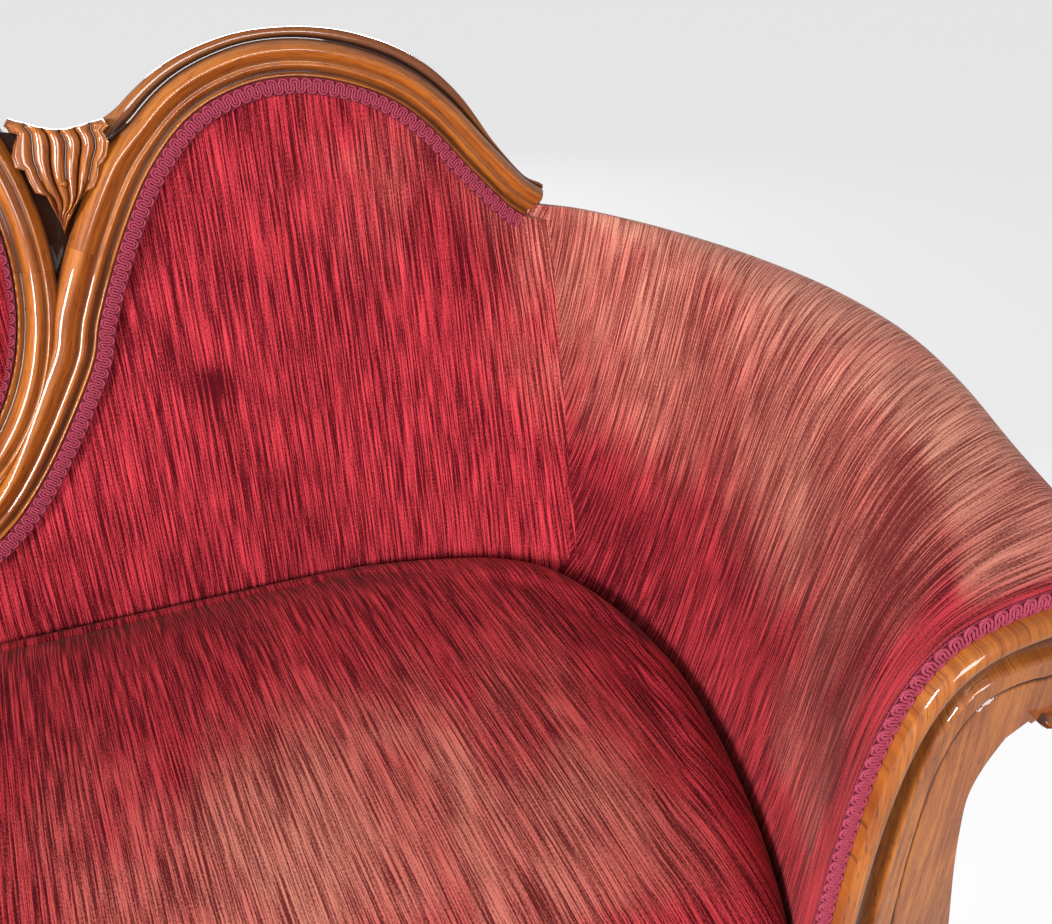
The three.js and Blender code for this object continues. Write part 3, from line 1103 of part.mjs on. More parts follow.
// Outside covers of the arms, from under the roll to the foot of the side rail.
const coverColumn = (share, depth) => {
  const section = armSection(share);
  const head = inSection(section, last(section.profile));
  const along = point(section.direction.x, section.direction.y, 0);
  const rail = railLine.getPoint(1 - share);
  const turn = railLine.getTangent(1 - share);
  const level = share === 1 ? FACING_BACK + CLEARANCE : rail.y;
  const out = RAIL_THICKNESS / 2 + CURVE_CLEARANCE;
  const foot = point(rail.x + turn.y * out, level - turn.x * out, RAIL_FOOT);
  const guide = inSection(section, flat(section.reach * COVER_GUIDE_SHARE, head.z));
  head.z -= CLEARANCE * 2;
  if (share === 1) [head, guide].forEach((p) => { p.y = level; });
  const seamX = seam.foot.x + (foot.y - seam.foot.y) * seamTurn + CLEARANCE;
  if (share === 0) foot.x = Math.max(foot.x, seamX);
  const stop = foot.clone().setZ(RAIL_TOP + CLEARANCE);
  const curve = new THREE.QuadraticBezierCurve3(head, guide, stop);
  const line = [...curve.getPoints(COVER_ROWS), foot];
  const aside = point(share === 0 ? CLOTH_THICKNESS : 0, 0, 0);
  return line.map((p) => p.clone().addScaledVector(along, depth).add(aside));
};
const coverShares = steps(RAIL_STEPS);
const armCover = largest(cut(
  slab(coverShares.map((share) => coverColumn(share, 0)),
    coverShares.map((share) => coverColumn(share, CLOTH_THICKNESS))),
  block(point(0, -ARM_REACH, 0), point(ARM_REACH * 2, blockBack + CLEARANCE,
    RAIL_TOP + CLEARANCE)), facingSpace, slab(armFront, armInside)));
pair(settee, 'outside_arm_cover', armCover, velvet);

// Outside back cover: one cloth behind the humps, the medallion and the seat rail.
const coverRear = -BACK_RAIL_THICKNESS - CLEARANCE;
const humpRear = steps(RAIL_STEPS * 2).map((t) => {
  const here = humpEdge.getPoint(t);
  const out = outward(humpEdge, t);
  return flat(here.x + out.x * MOULDING_WIDTH, here.y + out.y * MOULDING_WIDTH);
});
const backFoot = (RAIL_FOOT - SEAT_LINE) / Math.cos(BACK_LEAN)
  + (BACK_RAIL_THICKNESS + CLEARANCE) * Math.tan(BACK_LEAN);
const rearPlate = (outline) => plate(outline, coverRear - CLOTH_THICKNESS, coverRear);
const footCorner = flat(last(humpRear).x - 2 * CLOTH_THICKNESS, backFoot);
const halfRear = rearPlate([flat(0, backFoot), footCorner, ...humpRear.reverse()]);
const ovalRear = rearPlate(steps(OVAL_STEPS).slice(0, -1).map((turn) => flat(
  (OVAL_HALF_WIDTH + RING_WIDTH - GIMP_THICKNESS) * Math.cos(turn * 2 * Math.PI),
  OVAL_RISE + (OVAL_HALF_HEIGHT + RING_WIDTH - GIMP_THICKNESS) * Math.sin(turn * 2 * Math.PI))));
const saddleRear = rearPlate([flat(-OVAL_HALF_WIDTH / 2, saddleRise),
  flat(OVAL_HALF_WIDTH / 2, saddleRise), flat(OVAL_HALF_WIDTH / 2, saddleRise + 2 * RING_WIDTH),
  flat(-OVAL_HALF_WIDTH / 2, saddleRise + 2 * RING_WIDTH)]);
piece(back, 'outside_back_cover', join(
  halfRear, mirrored(halfRear), ovalRear, saddleRear), velvet);

// The origin is under the middle of the settee, at the floor.
const extent = new THREE.Box3().setFromObject(settee);
settee.position.y = -(extent.min.y + extent.max.y) / 2;

export default settee;
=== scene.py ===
"""Chair-back settee: the dressed visual model of a carved walnut settee in worn crimson velvet."""
import math

import bpy
import numpy as np
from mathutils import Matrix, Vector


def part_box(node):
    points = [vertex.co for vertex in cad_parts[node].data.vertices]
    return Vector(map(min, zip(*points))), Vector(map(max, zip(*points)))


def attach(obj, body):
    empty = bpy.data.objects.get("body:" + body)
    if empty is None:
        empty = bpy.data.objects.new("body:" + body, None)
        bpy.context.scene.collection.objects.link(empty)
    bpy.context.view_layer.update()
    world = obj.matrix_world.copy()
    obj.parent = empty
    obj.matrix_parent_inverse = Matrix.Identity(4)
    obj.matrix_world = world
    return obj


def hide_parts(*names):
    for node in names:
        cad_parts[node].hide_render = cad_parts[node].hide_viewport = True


bl_info = {
    "name": "Chair-back settee",
    "version": (1, 0, 0),
    "blender": (4, 5, 0),
    "location": "View3D > Sidebar > Settee",
    "description": "Builds a medallion-back settee with rolled arms, piece by piece",
    "category": "Add Mesh",
}

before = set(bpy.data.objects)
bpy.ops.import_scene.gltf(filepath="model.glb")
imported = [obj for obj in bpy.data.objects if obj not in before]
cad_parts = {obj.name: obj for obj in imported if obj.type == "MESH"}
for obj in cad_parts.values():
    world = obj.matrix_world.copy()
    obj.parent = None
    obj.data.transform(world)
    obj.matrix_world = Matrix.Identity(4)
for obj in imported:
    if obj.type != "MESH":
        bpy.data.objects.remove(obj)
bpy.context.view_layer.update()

# Sizes of the settee that its pieces share, in metres.
SEAT_LINE = 0.42
BACK_LEAN = math.radians(12)
ARM_REACH = 0.746
SEAT_DEPTH = 0.583
HUMP_REACH = 0.704
HUMP_RISE = 0.527
HUMP_END = 0.706 * HUMP_RISE
MOULDING_WIDTH = 0.034
REAR_BAND = 0.010
BACK_RAIL = 0.040
OVAL_WIDE = 0.194
OVAL_HIGH = 0.233
OVAL_RISE = 0.383
RING_WIDTH = 0.037
RING_REACH = OVAL_WIDE + RING_WIDTH
JOINT_RISE = 0.373
ARM_SPREAD = 0.160
CROWN_REACH = ARM_REACH + ARM_SPREAD
CROWN_BACK = SEAT_LINE + HUMP_END * math.cos(BACK_LEAN) + 0.013
CROWN_FALL = 0.067
ROLL_RADIUS = 0.058
RAIL_TOP = 0.355
RAIL_FOOT = 0.290
CLOTH_TOP = 0.3723
SEAT_BOW = 0.052
FRONT_REACH = 0.91 * ARM_REACH
TRIM_WIDE = 0.0155
END_BULGE = 0.008
FACING_FRONT = -SEAT_DEPTH - 0.009
FACING_THICK = 0.030
PAD_WALL = 0.020
PAD_EDGE = 0.014
HEAD_END = math.radians(-115)
ROLL_END = math.radians(-75)
FACING_WAIST = 0.096
APRON_HIGH = 0.072
LEG_HALF = 0.059
LEG_DEEP = 0.037
REAR_LEG_REACH = 0.676
REAR_LEG_HALF = 0.022
OUTSIDE_REACH = 0.722

# Gap that keeps neighbouring pieces apart.
CLEAR = 0.0003
# Share of an arm section's rise at which it stands on the crown.
CROWN_AT = 0.72
# From the side rail's middle line to the cover on its outer face.
RAIL_SIDE = 0.0249

# The CAD solids stand this much further back than the seat line's own zero.
BACK_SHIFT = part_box("arm_facing_right")[0][1] - FACING_FRONT

# Hump's inner edge: shares of the ring's half width, of the rest of the reach, and of the rise.
HUMP_TABLE = np.array([
    [0, 0, 0.129], [0.259, 0, 0.152], [0.545, 0, 0.217], [0.783, 0, 0.326], [1.051, 0, 0.511],
    [1.134, 0, 0.61], [1, 0.135, 0.744], [1, 0.214, 0.86], [1, 0.306, 0.944], [1, 0.412, 0.988],
    [1, 0.513, 1], [1, 0.616, 0.986], [1, 0.717, 0.95], [1, 0.798, 0.893], [1, 0.88, 0.808],
    [1, 0.955, 0.736], [1, 1, 0.706]])
# Seat's edge in plan, from the middle of the back round the corner to the arm's front.
GAP_TABLE = np.array([
    [0, 0], [0.32, 0], [0.605, 0.001], [0.68, 0.01], [0.765, 0.036], [0.863, 0.079],
    [0.905, 0.117], [0.942, 0.175], [0.977, 0.285], [0.997, 0.413], [1, 0.516], [0.991, 0.635],
    [0.974, 0.76], [0.951, 0.87], [0.93, 0.945], [0.91, 1]])
# Top of the arm's roll in plan, and how far it has fallen, from the crest rail to the front.
CROWN_TABLE = np.array([
    [0.8, -0.105], [0.826, -0.03], [0.872, 0.06], [0.917, 0.15], [0.957, 0.247],
    [0.987, 0.37], [1, 0.51], [0.994, 0.64], [0.975, 0.78], [0.955, 0.9], [0.942, 1]])
FALL_TABLE = np.array([0, -0.07, -0.02, 0.08, 0.2, 0.315, 0.45, 0.63, 0.87, 0.98, 1])[:, None]
# Arm section's two guide points at places along the arm: out and up, out and up.
GUIDE_PLACES = [0, 0.3, 0.65, 1]
GUIDE_TABLE = np.array([
    [0.42, 0.4, 0.82, 0.86], [0.16, 0.66, 0.5, 0.98], [0.05, 0.82, 0.3, 1],
    [0, 1.01, 0.21, 0.98]])
# Arm facing's outer edge under the scroll: height, and how far it flares.
EDGE_TABLE = np.array([
    [0, 0.34], [0.18, 0.25], [0.46, 0.1], [0.63, 0.03], [0.76, 0], [0.86, 0.06], [0.95, 0.18]])
# Side seat rail's middle line in plan, from the front leg to the rear post.
RAIL_TABLE = np.array([
    [1.03, 0.89], [1.07, 0.7], [1.085, 0.5], [1.065, 0.31], [1.02, 0.16], [0.965, 0.05],
    [0.935, 0.005]])
# Cabriole leg from the top down: height, swing forward, half width, half depth, squareness.
LEG_TABLE = np.array([
    [0.355, 0, 0.059, 0.037, 12], [0.3, 0, 0.059, 0.037, 12], [0.286, 0, 0.0588, 0.037, 9],
    [0.275, 0.002, 0.058, 0.038, 6], [0.262, 0.0075, 0.054, 0.0392, 4],
    [0.234, 0.0142, 0.046, 0.0385, 3], [0.2, 0.0128, 0.0354, 0.0318, 2.4],
    [0.16, 0.006, 0.0266, 0.0244, 2], [0.114, -0.0015, 0.02, 0.0192, 2],
    [0.078, 0, 0.017, 0.017, 2], [0.051, 0.006, 0.0182, 0.0182, 2],
    [0.034, 0.015, 0.0242, 0.0242, 2], [0.0153, 0.02, 0.029, 0.029, 2],
    [0.004, 0.02, 0.0275, 0.0275, 2], [0, 0.02, 0.0254, 0.0254, 2]])

# Width of the crest's rear band along the hump, in shares of its named width.
BAND_TABLE = np.array([
    1, 1, 1, 1, 1, 1, 1.3, 1.9, 1.55, 1.3, 1.2, 1.45, 1.55, 1.35, 0.6, 0.3, 0.6])[:, None]
# Shoulder leaf in the back's plane, in millimetres: its top edge, and its two outlines from
# there to the tip.
LEAF_TOP = [(220, 508), (225, 506), (234, 503), (248, 498), (257, 496), (267, 496), (279, 498),
            (288, 500), (299, 502)]
LEAF_NEAR = [(220, 508), (215, 502), (219, 495), (225, 493), (219, 484), (215, 474), (216, 464),
             (224, 462), (225, 453), (228, 442), (237, 440), (240, 428), (245, 412), (246, 402)]
LEAF_FAR = [(299, 502), (305, 495), (298, 490), (302, 480), (297, 467), (288, 459), (286, 449),
            (280, 440), (272, 439), (263, 429), (252, 413), (246, 402)]
# Times along the hump between which the crest moulding broadens beside the medallion ring.
VALLEY = (0.16, 0.24, 0.42, 0.47)
# Slant of the arm velvet's stripes, from the seam to the facing.
SLANT_TABLE = np.array([0.75, 0.58, 0.42, 0.32, 0.24, 0.12, 0])[:, None]
# Crest moulding from the braid outwards: share of its width, and height over the back's plane.
CREST_PROFILE = np.array([
    [0, 0.0005], [0.03, 0.0026], [0.075, 0.0027], [0.11, 0.0005], [0.16, -0.0012], [0.22, 0.0008],
    [0.27, 0.0046], [0.32, 0.0063], [0.37, 0.0058], [0.41, 0.0052], [0.48, 0.0064],
    [0.58, 0.0093], [0.66, 0.0117], [0.72, 0.0121], [0.8, 0.0108], [0.89, 0.0074],
    [0.96, 0.0032], [1, 0.0004]])
# Medallion ring from its opening outwards.
RING_PROFILE = np.array([
    [0, 0.0012], [0.03, 0.004], [0.08, 0.0045], [0.13, 0.0026], [0.19, 0.0018], [0.27, 0.0052],
    [0.35, 0.0098], [0.44, 0.0127], [0.52, 0.0137], [0.6, 0.0124], [0.66, 0.0097],
    [0.7, 0.0086], [0.745, 0.0096], [0.78, 0.0103], [0.82, 0.0088], [0.9, 0.0048], [1, 0.0003]])


# Curves and surfaces.

def spline(table, t):
    """Smooth curve through evenly timed points: on each span a cubic whose slope at a point is
    half the step between the point's neighbours."""
    table = np.asarray(table, float)
    last = len(table) - 1
    at = np.clip(np.asarray(t, float), 0, 1) * last
    i = np.minimum(at.astype(int), last - 1)
    w = (at - i).reshape(at.shape + (1,) * (table.ndim - 1))
    p, q, r, s = (table[np.clip(i + k, 0, last)] for k in (-1, 0, 1, 2))
    a, b = (r - p) / 2, (s - q) / 2
    return q + w * a + w ** 2 * (3 * (r - q) - 2 * a - b) + w ** 3 * (2 * (q - r) + a + b)


def smooth_step(low, high, x):
    """Rises from 0 at low to 1 at high as 3s^2 - 2s^3."""
    s = np.clip((np.asarray(x, float) - low) / (high - low), 0, 1)
    return s * s * (3 - 2 * s)


def unit(v):
    """Vectors divided by their lengths."""
    return v / np.maximum(np.linalg.norm(v, axis=-1, keepdims=True), 1e-9)


def side_of(curve, t):
    """Points of a flat curve and the unit direction to its left, from a small step either way."""
    step = 1e-4
    ahead, behind = curve(np.clip(t + step, 0, 1)), curve(np.clip(t - step, 0, 1))
    along = unit(ahead - behind)
    return curve(t), np.stack([-along[..., 1], along[..., 0]], -1)


def lengths(line):
    """Length gone at each point of a line."""
    return np.concatenate([[0], np.cumsum(np.linalg.norm(np.diff(line, axis=0), axis=-1))])


def even_times(curve, low, high, count):
    """Times between low and high at which a curve has gone equal lengths."""
    t = np.linspace(low, high, 2000)
    gone = lengths(curve(t))
    return np.interp(np.linspace(0, gone[-1], count), gone, t)


def resample(line, shares):
    """Points of a flat line at shares of its length."""
    gone = lengths(line)
    return np.stack([np.interp(shares * gone[-1], gone, line[:, k]) for k in (0, 1)], -1)


def squared(value, power):
    """A sine or cosine drawn towards a square wave: its size to the power of two over another."""
    return np.sign(value) * np.abs(value) ** (2 / power)


def layers(*parts):
    """Numbers of one grid each, as the parts of its vectors."""
    return np.stack(np.broadcast_arrays(*parts), -1)


def on_back(u, v, w):
    """A place on the leaning back: u across, v up its plane from the seat line, w out of it."""
    return layers(u, BACK_SHIFT + v * math.sin(BACK_LEAN) - w * math.cos(BACK_LEAN),
                  SEAT_LINE + v * math.cos(BACK_LEAN) + w * math.sin(BACK_LEAN))


def back_way(u, v, w):
    """A direction across the back, up its plane and out of it."""
    return on_back(u, v, w) - on_back(0, 0, 0)


def upright(flat, y):
    """Places with flat points as x and z, at depths from the seat line's zero."""
    return layers(flat[..., 0], y + BACK_SHIFT, flat[..., 1])


def lean_at(z):
    """How far back the back's plane lies at a height."""
    return (z - SEAT_LINE) * math.tan(BACK_LEAN)


def hump(t):
    """Inner edge of the right hump in the back's plane."""
    row = spline(HUMP_TABLE, t)
    return np.stack([row[..., 0] * RING_REACH + row[..., 1] * (HUMP_REACH - RING_REACH),
                     row[..., 2] * HUMP_RISE], -1)


def gap(t):
    """Line where the seat meets the back and the right arm, in plan."""
    return spline(GAP_TABLE * [ARM_REACH, -SEAT_DEPTH], t)


def side_rail(t):
    """Middle line of the right side rail in plan."""
    return spline(RAIL_TABLE * [ARM_REACH, -SEAT_DEPTH], t)


def front_line(x, reach=FRONT_REACH):
    """Seat's front in plan: a bow of half a cosine wave between the arms, straight beyond."""
    x = np.minimum(np.abs(x), reach)
    return -SEAT_DEPTH - SEAT_BOW * (1 + np.cos(np.pi * x / reach)) / 2


def oval(angle):
    """Edge of the medallion's opening in the back's plane, an ellipse."""
    return np.stack([OVAL_WIDE * np.cos(angle), OVAL_RISE + OVAL_HIGH * np.sin(angle)], -1)


def time_at(curve, axis, value, low=0.0, high=1.0):
    """Time at which a curve passes a value along one axis, from a fine table of the curve."""
    t = np.linspace(low, high, 4000)
    along = curve(t)[:, axis]
    if along[-1] < along[0]:
        t, along = t[::-1], along[::-1]
    return float(np.interp(value, np.maximum.accumulate(along), t))


CORNER = time_at(gap, 1, -0.175 * SEAT_DEPTH, 0.3)
SEAM_FOOT = gap(np.array([CORNER]))[0]
JOINT = time_at(hump, 1, JOINT_RISE, 0, 10 / 16)


def arm_frame(share):
    """Foot, outward direction, reach and crown height of the arm's sections along the arm."""
    foot = gap(CORNER + (1 - CORNER) * share)
    top = spline(CROWN_TABLE * [CROWN_REACH, -SEAT_DEPTH], share)
    out = top - foot
    reach = np.linalg.norm(out, axis=-1)
    crown = CROWN_BACK - CROWN_FALL * spline(FALL_TABLE, share)[..., 0]
    return foot, out / reach[..., None], reach, crown


def arm_profile(share, rise):
    """Arm section as out and up: a cubic from the seat line to the crown, whose two guide points
    run between the table's rows in straight steps, then an arc of the roll's radius that turns
    under it."""
    _, _, reach, crown = arm_frame(share)
    guide = [np.interp(share, GUIDE_PLACES, shares) for shares in GUIDE_TABLE.T]
    b = np.clip(rise / CROWN_AT, 0, 1)
    near, far = 3 * (1 - b) ** 2 * b, 3 * (1 - b) * b ** 2
    out = (near * guide[0] + far * guide[2] + b ** 3) * reach
    up = (near * guide[1] + far * guide[3] + b ** 3) * (crown - SEAT_LINE) + SEAT_LINE
    over = np.clip((rise - CROWN_AT) / (1 - CROWN_AT), 0, 1)
    turn = np.pi / 2 + (ROLL_END - np.pi / 2) * over
    out = np.where(over > 0, reach + ROLL_RADIUS * np.cos(turn), out)
    up = np.where(over > 0, crown - ROLL_RADIUS + ROLL_RADIUS * np.sin(turn), up)
    return out, up


def arm_place(share, out, up):
    """A place of an arm section in the settee's own frame."""
    foot, direction, _, _ = arm_frame(share)
    return np.stack([foot[..., 0] + direction[..., 0] * out,
                     foot[..., 1] + direction[..., 1] * out + BACK_SHIFT, up], -1)


SEAM_LINE = arm_place(np.zeros(400), *arm_profile(np.zeros(400), np.linspace(0, CROWN_AT, 400)))


def seam(z):
    """The sewn line between the back and the arm, at a height."""
    return np.stack([np.interp(z, SEAM_LINE[:, 2], SEAM_LINE[:, k]) for k in (0, 1)], -1)


def arm_end():
    """Front end of the right arm's padding as x and z: its foot's x, the section's line up to the
    crown, the direction into the padding, and the middle of the scroll."""
    out, up = arm_profile(np.ones(300), np.linspace(0, CROWN_AT, 300))
    foot, _, reach, crown = arm_frame(np.array([1.0]))
    line = np.stack([foot[0, 0] + out, up], -1)
    along = unit(np.gradient(line, axis=0))
    head = np.array([foot[0, 0] + reach[0], crown[0] - ROLL_RADIUS])
    return foot[0, 0], line, np.stack([along[:, 1], -along[:, 0]], -1), head


# Meshes.

def quads(rows, columns, closed=False):
    """Corner numbers of the quads between neighbours of a grid of points. A closed grid's last
    column meets its first."""
    i = np.arange(rows - 1)[:, None] * columns
    j = np.arange(columns if closed else columns - 1)[None, :]
    m = (j + 1) % columns
    return layers(i + j, i + m, i + columns + m, i + columns + j).reshape(-1, 4)


def rim_of(rows, columns):
    """Point numbers round the edge of a grid, in order."""
    grid = np.arange(rows * columns).reshape(rows, columns)
    return np.concatenate([grid[0, :-1], grid[:-1, -1], grid[-1, :0:-1], grid[:0:-1, 0]])


def volume_of(points, faces):
    """Six times the signed volume inside a closed mesh: the sum of triple products."""
    total = 0.0
    for face in faces:
        a, b, c = points[face[:, 0]], points[face[:, 1]], points[face[:, 2]]
        total += np.einsum("ij,ij->", a, np.cross(b, c))
        if face.shape[1] == 4:
            total += np.einsum("ij,ij->", a, np.cross(c, points[face[:, 3]]))
    return total


def make_piece(name, body, material, slot, added=False, sharp=0.6):
    """A smooth-shaded object from points, arrays of quads or triangles, and marks, turned
    outwards. It replaces the solid of its own name, unless it is added to them."""
    points, faces, marks = body
    if volume_of(points, faces) < 0:
        faces = [face[:, ::-1] for face in faces]
    corners = np.concatenate([face.ravel() for face in faces])
    sizes = np.concatenate([np.full(len(face), face.shape[1]) for face in faces])
    label = name if added else name + "_dressed"
    mesh = bpy.data.meshes.new(label)
    mesh.vertices.add(len(points))
    mesh.vertices.foreach_set("co", points.ravel())
    mesh.loops.add(len(corners))
    mesh.loops.foreach_set("vertex_index", corners)
    mesh.polygons.add(len(sizes))
    mesh.polygons.foreach_set("loop_start", np.concatenate([[0], np.cumsum(sizes)[:-1]]))
    mesh.update(calc_edges=True)
    mesh.validate()
    mesh.polygons.foreach_set("use_smooth", np.ones(len(mesh.polygons), bool))
    for mark, values in marks.items():
        layer = mesh.attributes.new(mark, "FLOAT_VECTOR", "POINT")
        layer.data.foreach_set("vector", values.astype(np.float32).ravel())
    if sharp:
        mesh.set_sharp_from_angle(angle=sharp)
    piece = bpy.data.objects.new(label, mesh)
    bpy.context.scene.collection.objects.link(piece)
    mesh.materials.append(material)
    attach(piece, "root")
    if not added:
        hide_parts(name)
    return piece


def make_pair(name, body, *details, **more):
    """A piece on the right and its mirror image on the left."""
    points, faces, marks = body
    mirrored = points * [-1, 1, 1], [face[:, ::-1] for face in faces], marks
    return (make_piece(name + "_right", body, *details, **more),
            make_piece(name + "_left", mirrored, *details, **more))


def with_ends(grid):
    """Grid points with the middle of the first and last section after them."""
    return np.concatenate([grid.reshape(-1, 3), grid[0].mean(0)[None], grid[-1].mean(0)[None]])


def tube(grid, **marks):
    """Body of a closed section carried along a path, with a fan at each end: points, faces and
    marks."""
    rows, columns = grid.shape[:2]
    j = np.arange(columns)
    after, middle, end = (j + 1) % columns, rows * columns, (rows - 1) * columns
    fans = np.concatenate([layers(middle, after, j), layers(middle + 1, end + j, end + after)])
    return (with_ends(grid), [quads(rows, columns, True), fans],
            {label: with_ends(mark) for label, mark in marks.items()})


def shell(front, back, **marks):
    """Closed body between two grids of the same size: points, faces and marks. A mark is one grid
    for both sides, or a pair."""
    rows, columns = front.shape[:2]
    face = quads(rows, columns)
    rim = rim_of(rows, columns)
    other = rim + rows * columns
    sides = np.stack([rim, other, np.roll(other, -1), np.roll(rim, -1)], -1)
    both = (2, rows, columns, 3)
    return (np.stack([front, back]).reshape(-1, 3), [face, face[:, ::-1] + rows * columns, sides],
            {label: np.broadcast_to(mark, both).reshape(-1, 3) for label, mark in marks.items()})


# Materials.

def fill(tree, target, inputs):
    """Sets a node's inputs by their names or numbers, or links those whose value is a socket."""
    for label, value in inputs.items():
        if isinstance(value, bpy.types.NodeSocket):
            tree.links.new(value, target.inputs[label])
        else:
            target.inputs[label].default_value = value


def node(tree, kind, at, inputs=None, **properties):
    """A shader node with its properties and inputs set."""
    made = tree.nodes.new(kind)
    made.location = at
    for key, value in properties.items():
        setattr(made, key, value)
    fill(tree, made, inputs or {})
    return made


def blend(tree, at, share, first, second):
    """A mix of two colours, each a socket or three parts."""
    first, second = (value if isinstance(value, bpy.types.NodeSocket) else (*value, 1)
                     for value in (first, second))
    return node(tree, "ShaderNodeMix", at, {0: share, 6: first, 7: second},
                data_type="RGBA").outputs[2]


def maths(tree, at, operation, *values, clamp=False):
    """A maths node; each value is a socket or a number."""
    return node(tree, "ShaderNodeMath", at, dict(enumerate(values)), operation=operation,
                use_clamp=clamp).outputs[0]


def stretched(tree, at, vector, scale):
    """Coordinates multiplied along each axis."""
    return node(tree, "ShaderNodeMapping", at, {"Vector": vector, "Scale": scale}).outputs[0]


def noise(tree, at, vector, scale, detail=2.0, roughness=0.5, distortion=0.0):
    """A noise texture's value on coordinates that are multiplied along each axis."""
    place = stretched(tree, (at[0] - 180, at[1]), vector, scale)
    return node(tree, "ShaderNodeTexNoise", at, {
        "Vector": place, "Scale": 1.0, "Detail": detail, "Roughness": roughness,
        "Distortion": distortion}).outputs["Fac"]


def mapped(tree, at, value, low, high, first=0.0, last=1.0):
    """A value carried from one range to another and held within it."""
    return node(tree, "ShaderNodeMapRange", at, {0: value, 1: low, 2: high, 3: first, 4: last},
                clamp=True).outputs[0]


def new_group(name, inputs, outputs):
    """An empty shader node group: its tree, the sockets it is given and its output node. An input
    without a value is a vector; one with four parts is a colour, as is the output of that
    name."""
    tree = bpy.data.node_groups.new(name, "ShaderNodeTree")
    kinds = {type(None): "Vector", float: "Float", tuple: "Color"}
    for label, value in inputs.items():
        socket = tree.interface.new_socket(name=label, in_out="INPUT",
                                           socket_type="NodeSocket" + kinds[type(value)])
        if value is not None:
            socket.default_value = value
    for label in outputs:
        kind = "NodeSocketColor" if label == "Color" else "NodeSocketFloat"
        tree.interface.new_socket(name=label, in_out="OUTPUT", socket_type=kind)
    return (tree, node(tree, "NodeGroupInput", (-900, 0)).outputs,
            node(tree, "NodeGroupOutput", (900, 0)))


def pile_group():
    """Strié velvet: fine broken stripes along the pile's rows in two widths, a nap of specks,
    broad crushed patches, painted light and shade added to their tone, and the change to the
    worn colours, as a colour, a height and a worn share. A stripe is a noise drawn out along
    the rows; its contrast comes from a narrow range of the noise's values."""
    tree, given, out = new_group("Striped pile", {
        "Rows": None, "Worn": 0.0, "Lift": 0.0, "Deep": (0.1, 0.005, 0.01, 1),
        "Bright": (0.5, 0.03, 0.05, 1), "Worn deep": (0.2, 0.05, 0.04, 1),
        "Worn bright": (0.5, 0.25, 0.2, 1)}, ("Color", "Height", "Worn"))
    rows, worn = given["Rows"], given["Worn"]
    broad = noise(tree, (-600, 400), rows, (400, 6, 1), 1.0, 0.5, 0.05)
    fine = noise(tree, (-600, 200), rows, (780, 18, 1), 1.0, 0.5, 0.05)
    nap = noise(tree, (-600, 0), rows, (700, 420, 1), 1.0)
    crush = noise(tree, (-600, -200), rows, (14, 8, 1), 4.0, 0.6, 0.6)
    drift = noise(tree, (-600, -400), rows, (9, 5, 1), 4.0, 0.6, 0.5)
    tone = maths(tree, (-200, 400), "MULTIPLY_ADD", mapped(
        tree, (-400, 400), broad, 0.4, 0.61), 0.62, mapped(
        tree, (-400, 200), fine, 0.4, 0.62, -0.26, 0.46))
    # Painted light and shade: the mesh's lift mark brightens or darkens the stripes' tone.
    tone = maths(tree, (-200, 550), "ADD", tone, given["Lift"])
    tone = maths(tree, (-50, 300), "ADD", tone, mapped(
        tree, (-200, 100), nap, 0.3, 0.7, -0.26, 0.26))
    tone = maths(tree, (100, 300), "ADD", tone, mapped(
        tree, (-200, -100), crush, 0.36, 0.66, -0.12, 0.14), clamp=True)
    touched = maths(tree, (0, -350), "MULTIPLY", worn, 2.5, clamp=True)
    worn = maths(tree, (0, -200), "ADD", worn, mapped(
        tree, (-200, -300), drift, 0.38, 0.64, -0.22, 0.24), clamp=True)
    worn = maths(tree, (150, -200), "MULTIPLY", worn, touched, clamp=True)
    fresh = blend(tree, (350, 300), tone, given["Deep"], given["Bright"])
    tired = blend(tree, (350, 100), tone, given["Worn deep"], given["Worn bright"])
    fill(tree, out, {"Color": blend(tree, (550, 200), worn, fresh, tired), "Height": tone,
                     "Worn": worn})
    return tree


def grain_group():
    """Polished walnut: long streaks and pores along the grain, a slow drift of colour, and dark
    polish gathered, together with painted shade, where the marks call the surface hollow."""
    tree, given, out = new_group("Polished grain", {
        "Grain": None, "Polish and shade": 0.0, "Pale": (0.5, 0.2, 0.06, 1),
        "Ruddy": (0.3, 0.08, 0.02, 1), "Dark": (0.06, 0.015, 0.01, 1)},
        ("Color", "Height", "Roughness"))
    grain = given["Grain"]
    streak = noise(tree, (-600, 300), grain, (9, 260, 1), 4.0, 0.62, 0.6)
    figure = noise(tree, (-600, 100), grain, (7, 34, 1), 3.0, 0.5, 1.2)
    pore = noise(tree, (-600, -100), grain, (70, 1100, 1))
    drift = noise(tree, (-600, -300), grain, (5, 5, 5))
    share = maths(tree, (-400, 250), "MULTIPLY_ADD", streak, 0.75, maths(
        tree, (-500, 150), "MULTIPLY", figure, 0.55))
    colour = blend(tree, (0, 250), mapped(tree, (-200, 250), share, 0.5, 0.78), given["Pale"],
                   given["Ruddy"])
    colour = blend(tree, (150, 150), maths(tree, (0, 0), "MULTIPLY", drift, 0.5), colour,
                   given["Ruddy"])
    colour = blend(tree, (300, 100), mapped(tree, (-200, -100), pore, 0.56, 0.7, 0.0, 0.65),
                   colour, given["Dark"])
    # Dark polish and painted shade in the hollows that the marks give.
    hollow = maths(tree, (150, -250), "MULTIPLY", given["Polish and shade"], maths(
        tree, (0, -300), "MULTIPLY_ADD", drift, 0.9, 0.6), clamp=True)
    fill(tree, out, {
        "Color": blend(tree, (500, 100), hollow, colour, given["Dark"]),
        "Height": maths(tree, (300, -300), "MULTIPLY", pore, -1.0),
        "Roughness": maths(tree, (300, -450), "MULTIPLY_ADD", streak, 0.12, 0.4)})
    return tree


def start_material(name):
    """A material, its tree and its Principled shader."""
    made = bpy.data.materials.new(name)
    made.use_nodes = True
    return made, made.node_tree, made.node_tree.nodes["Principled BSDF"]


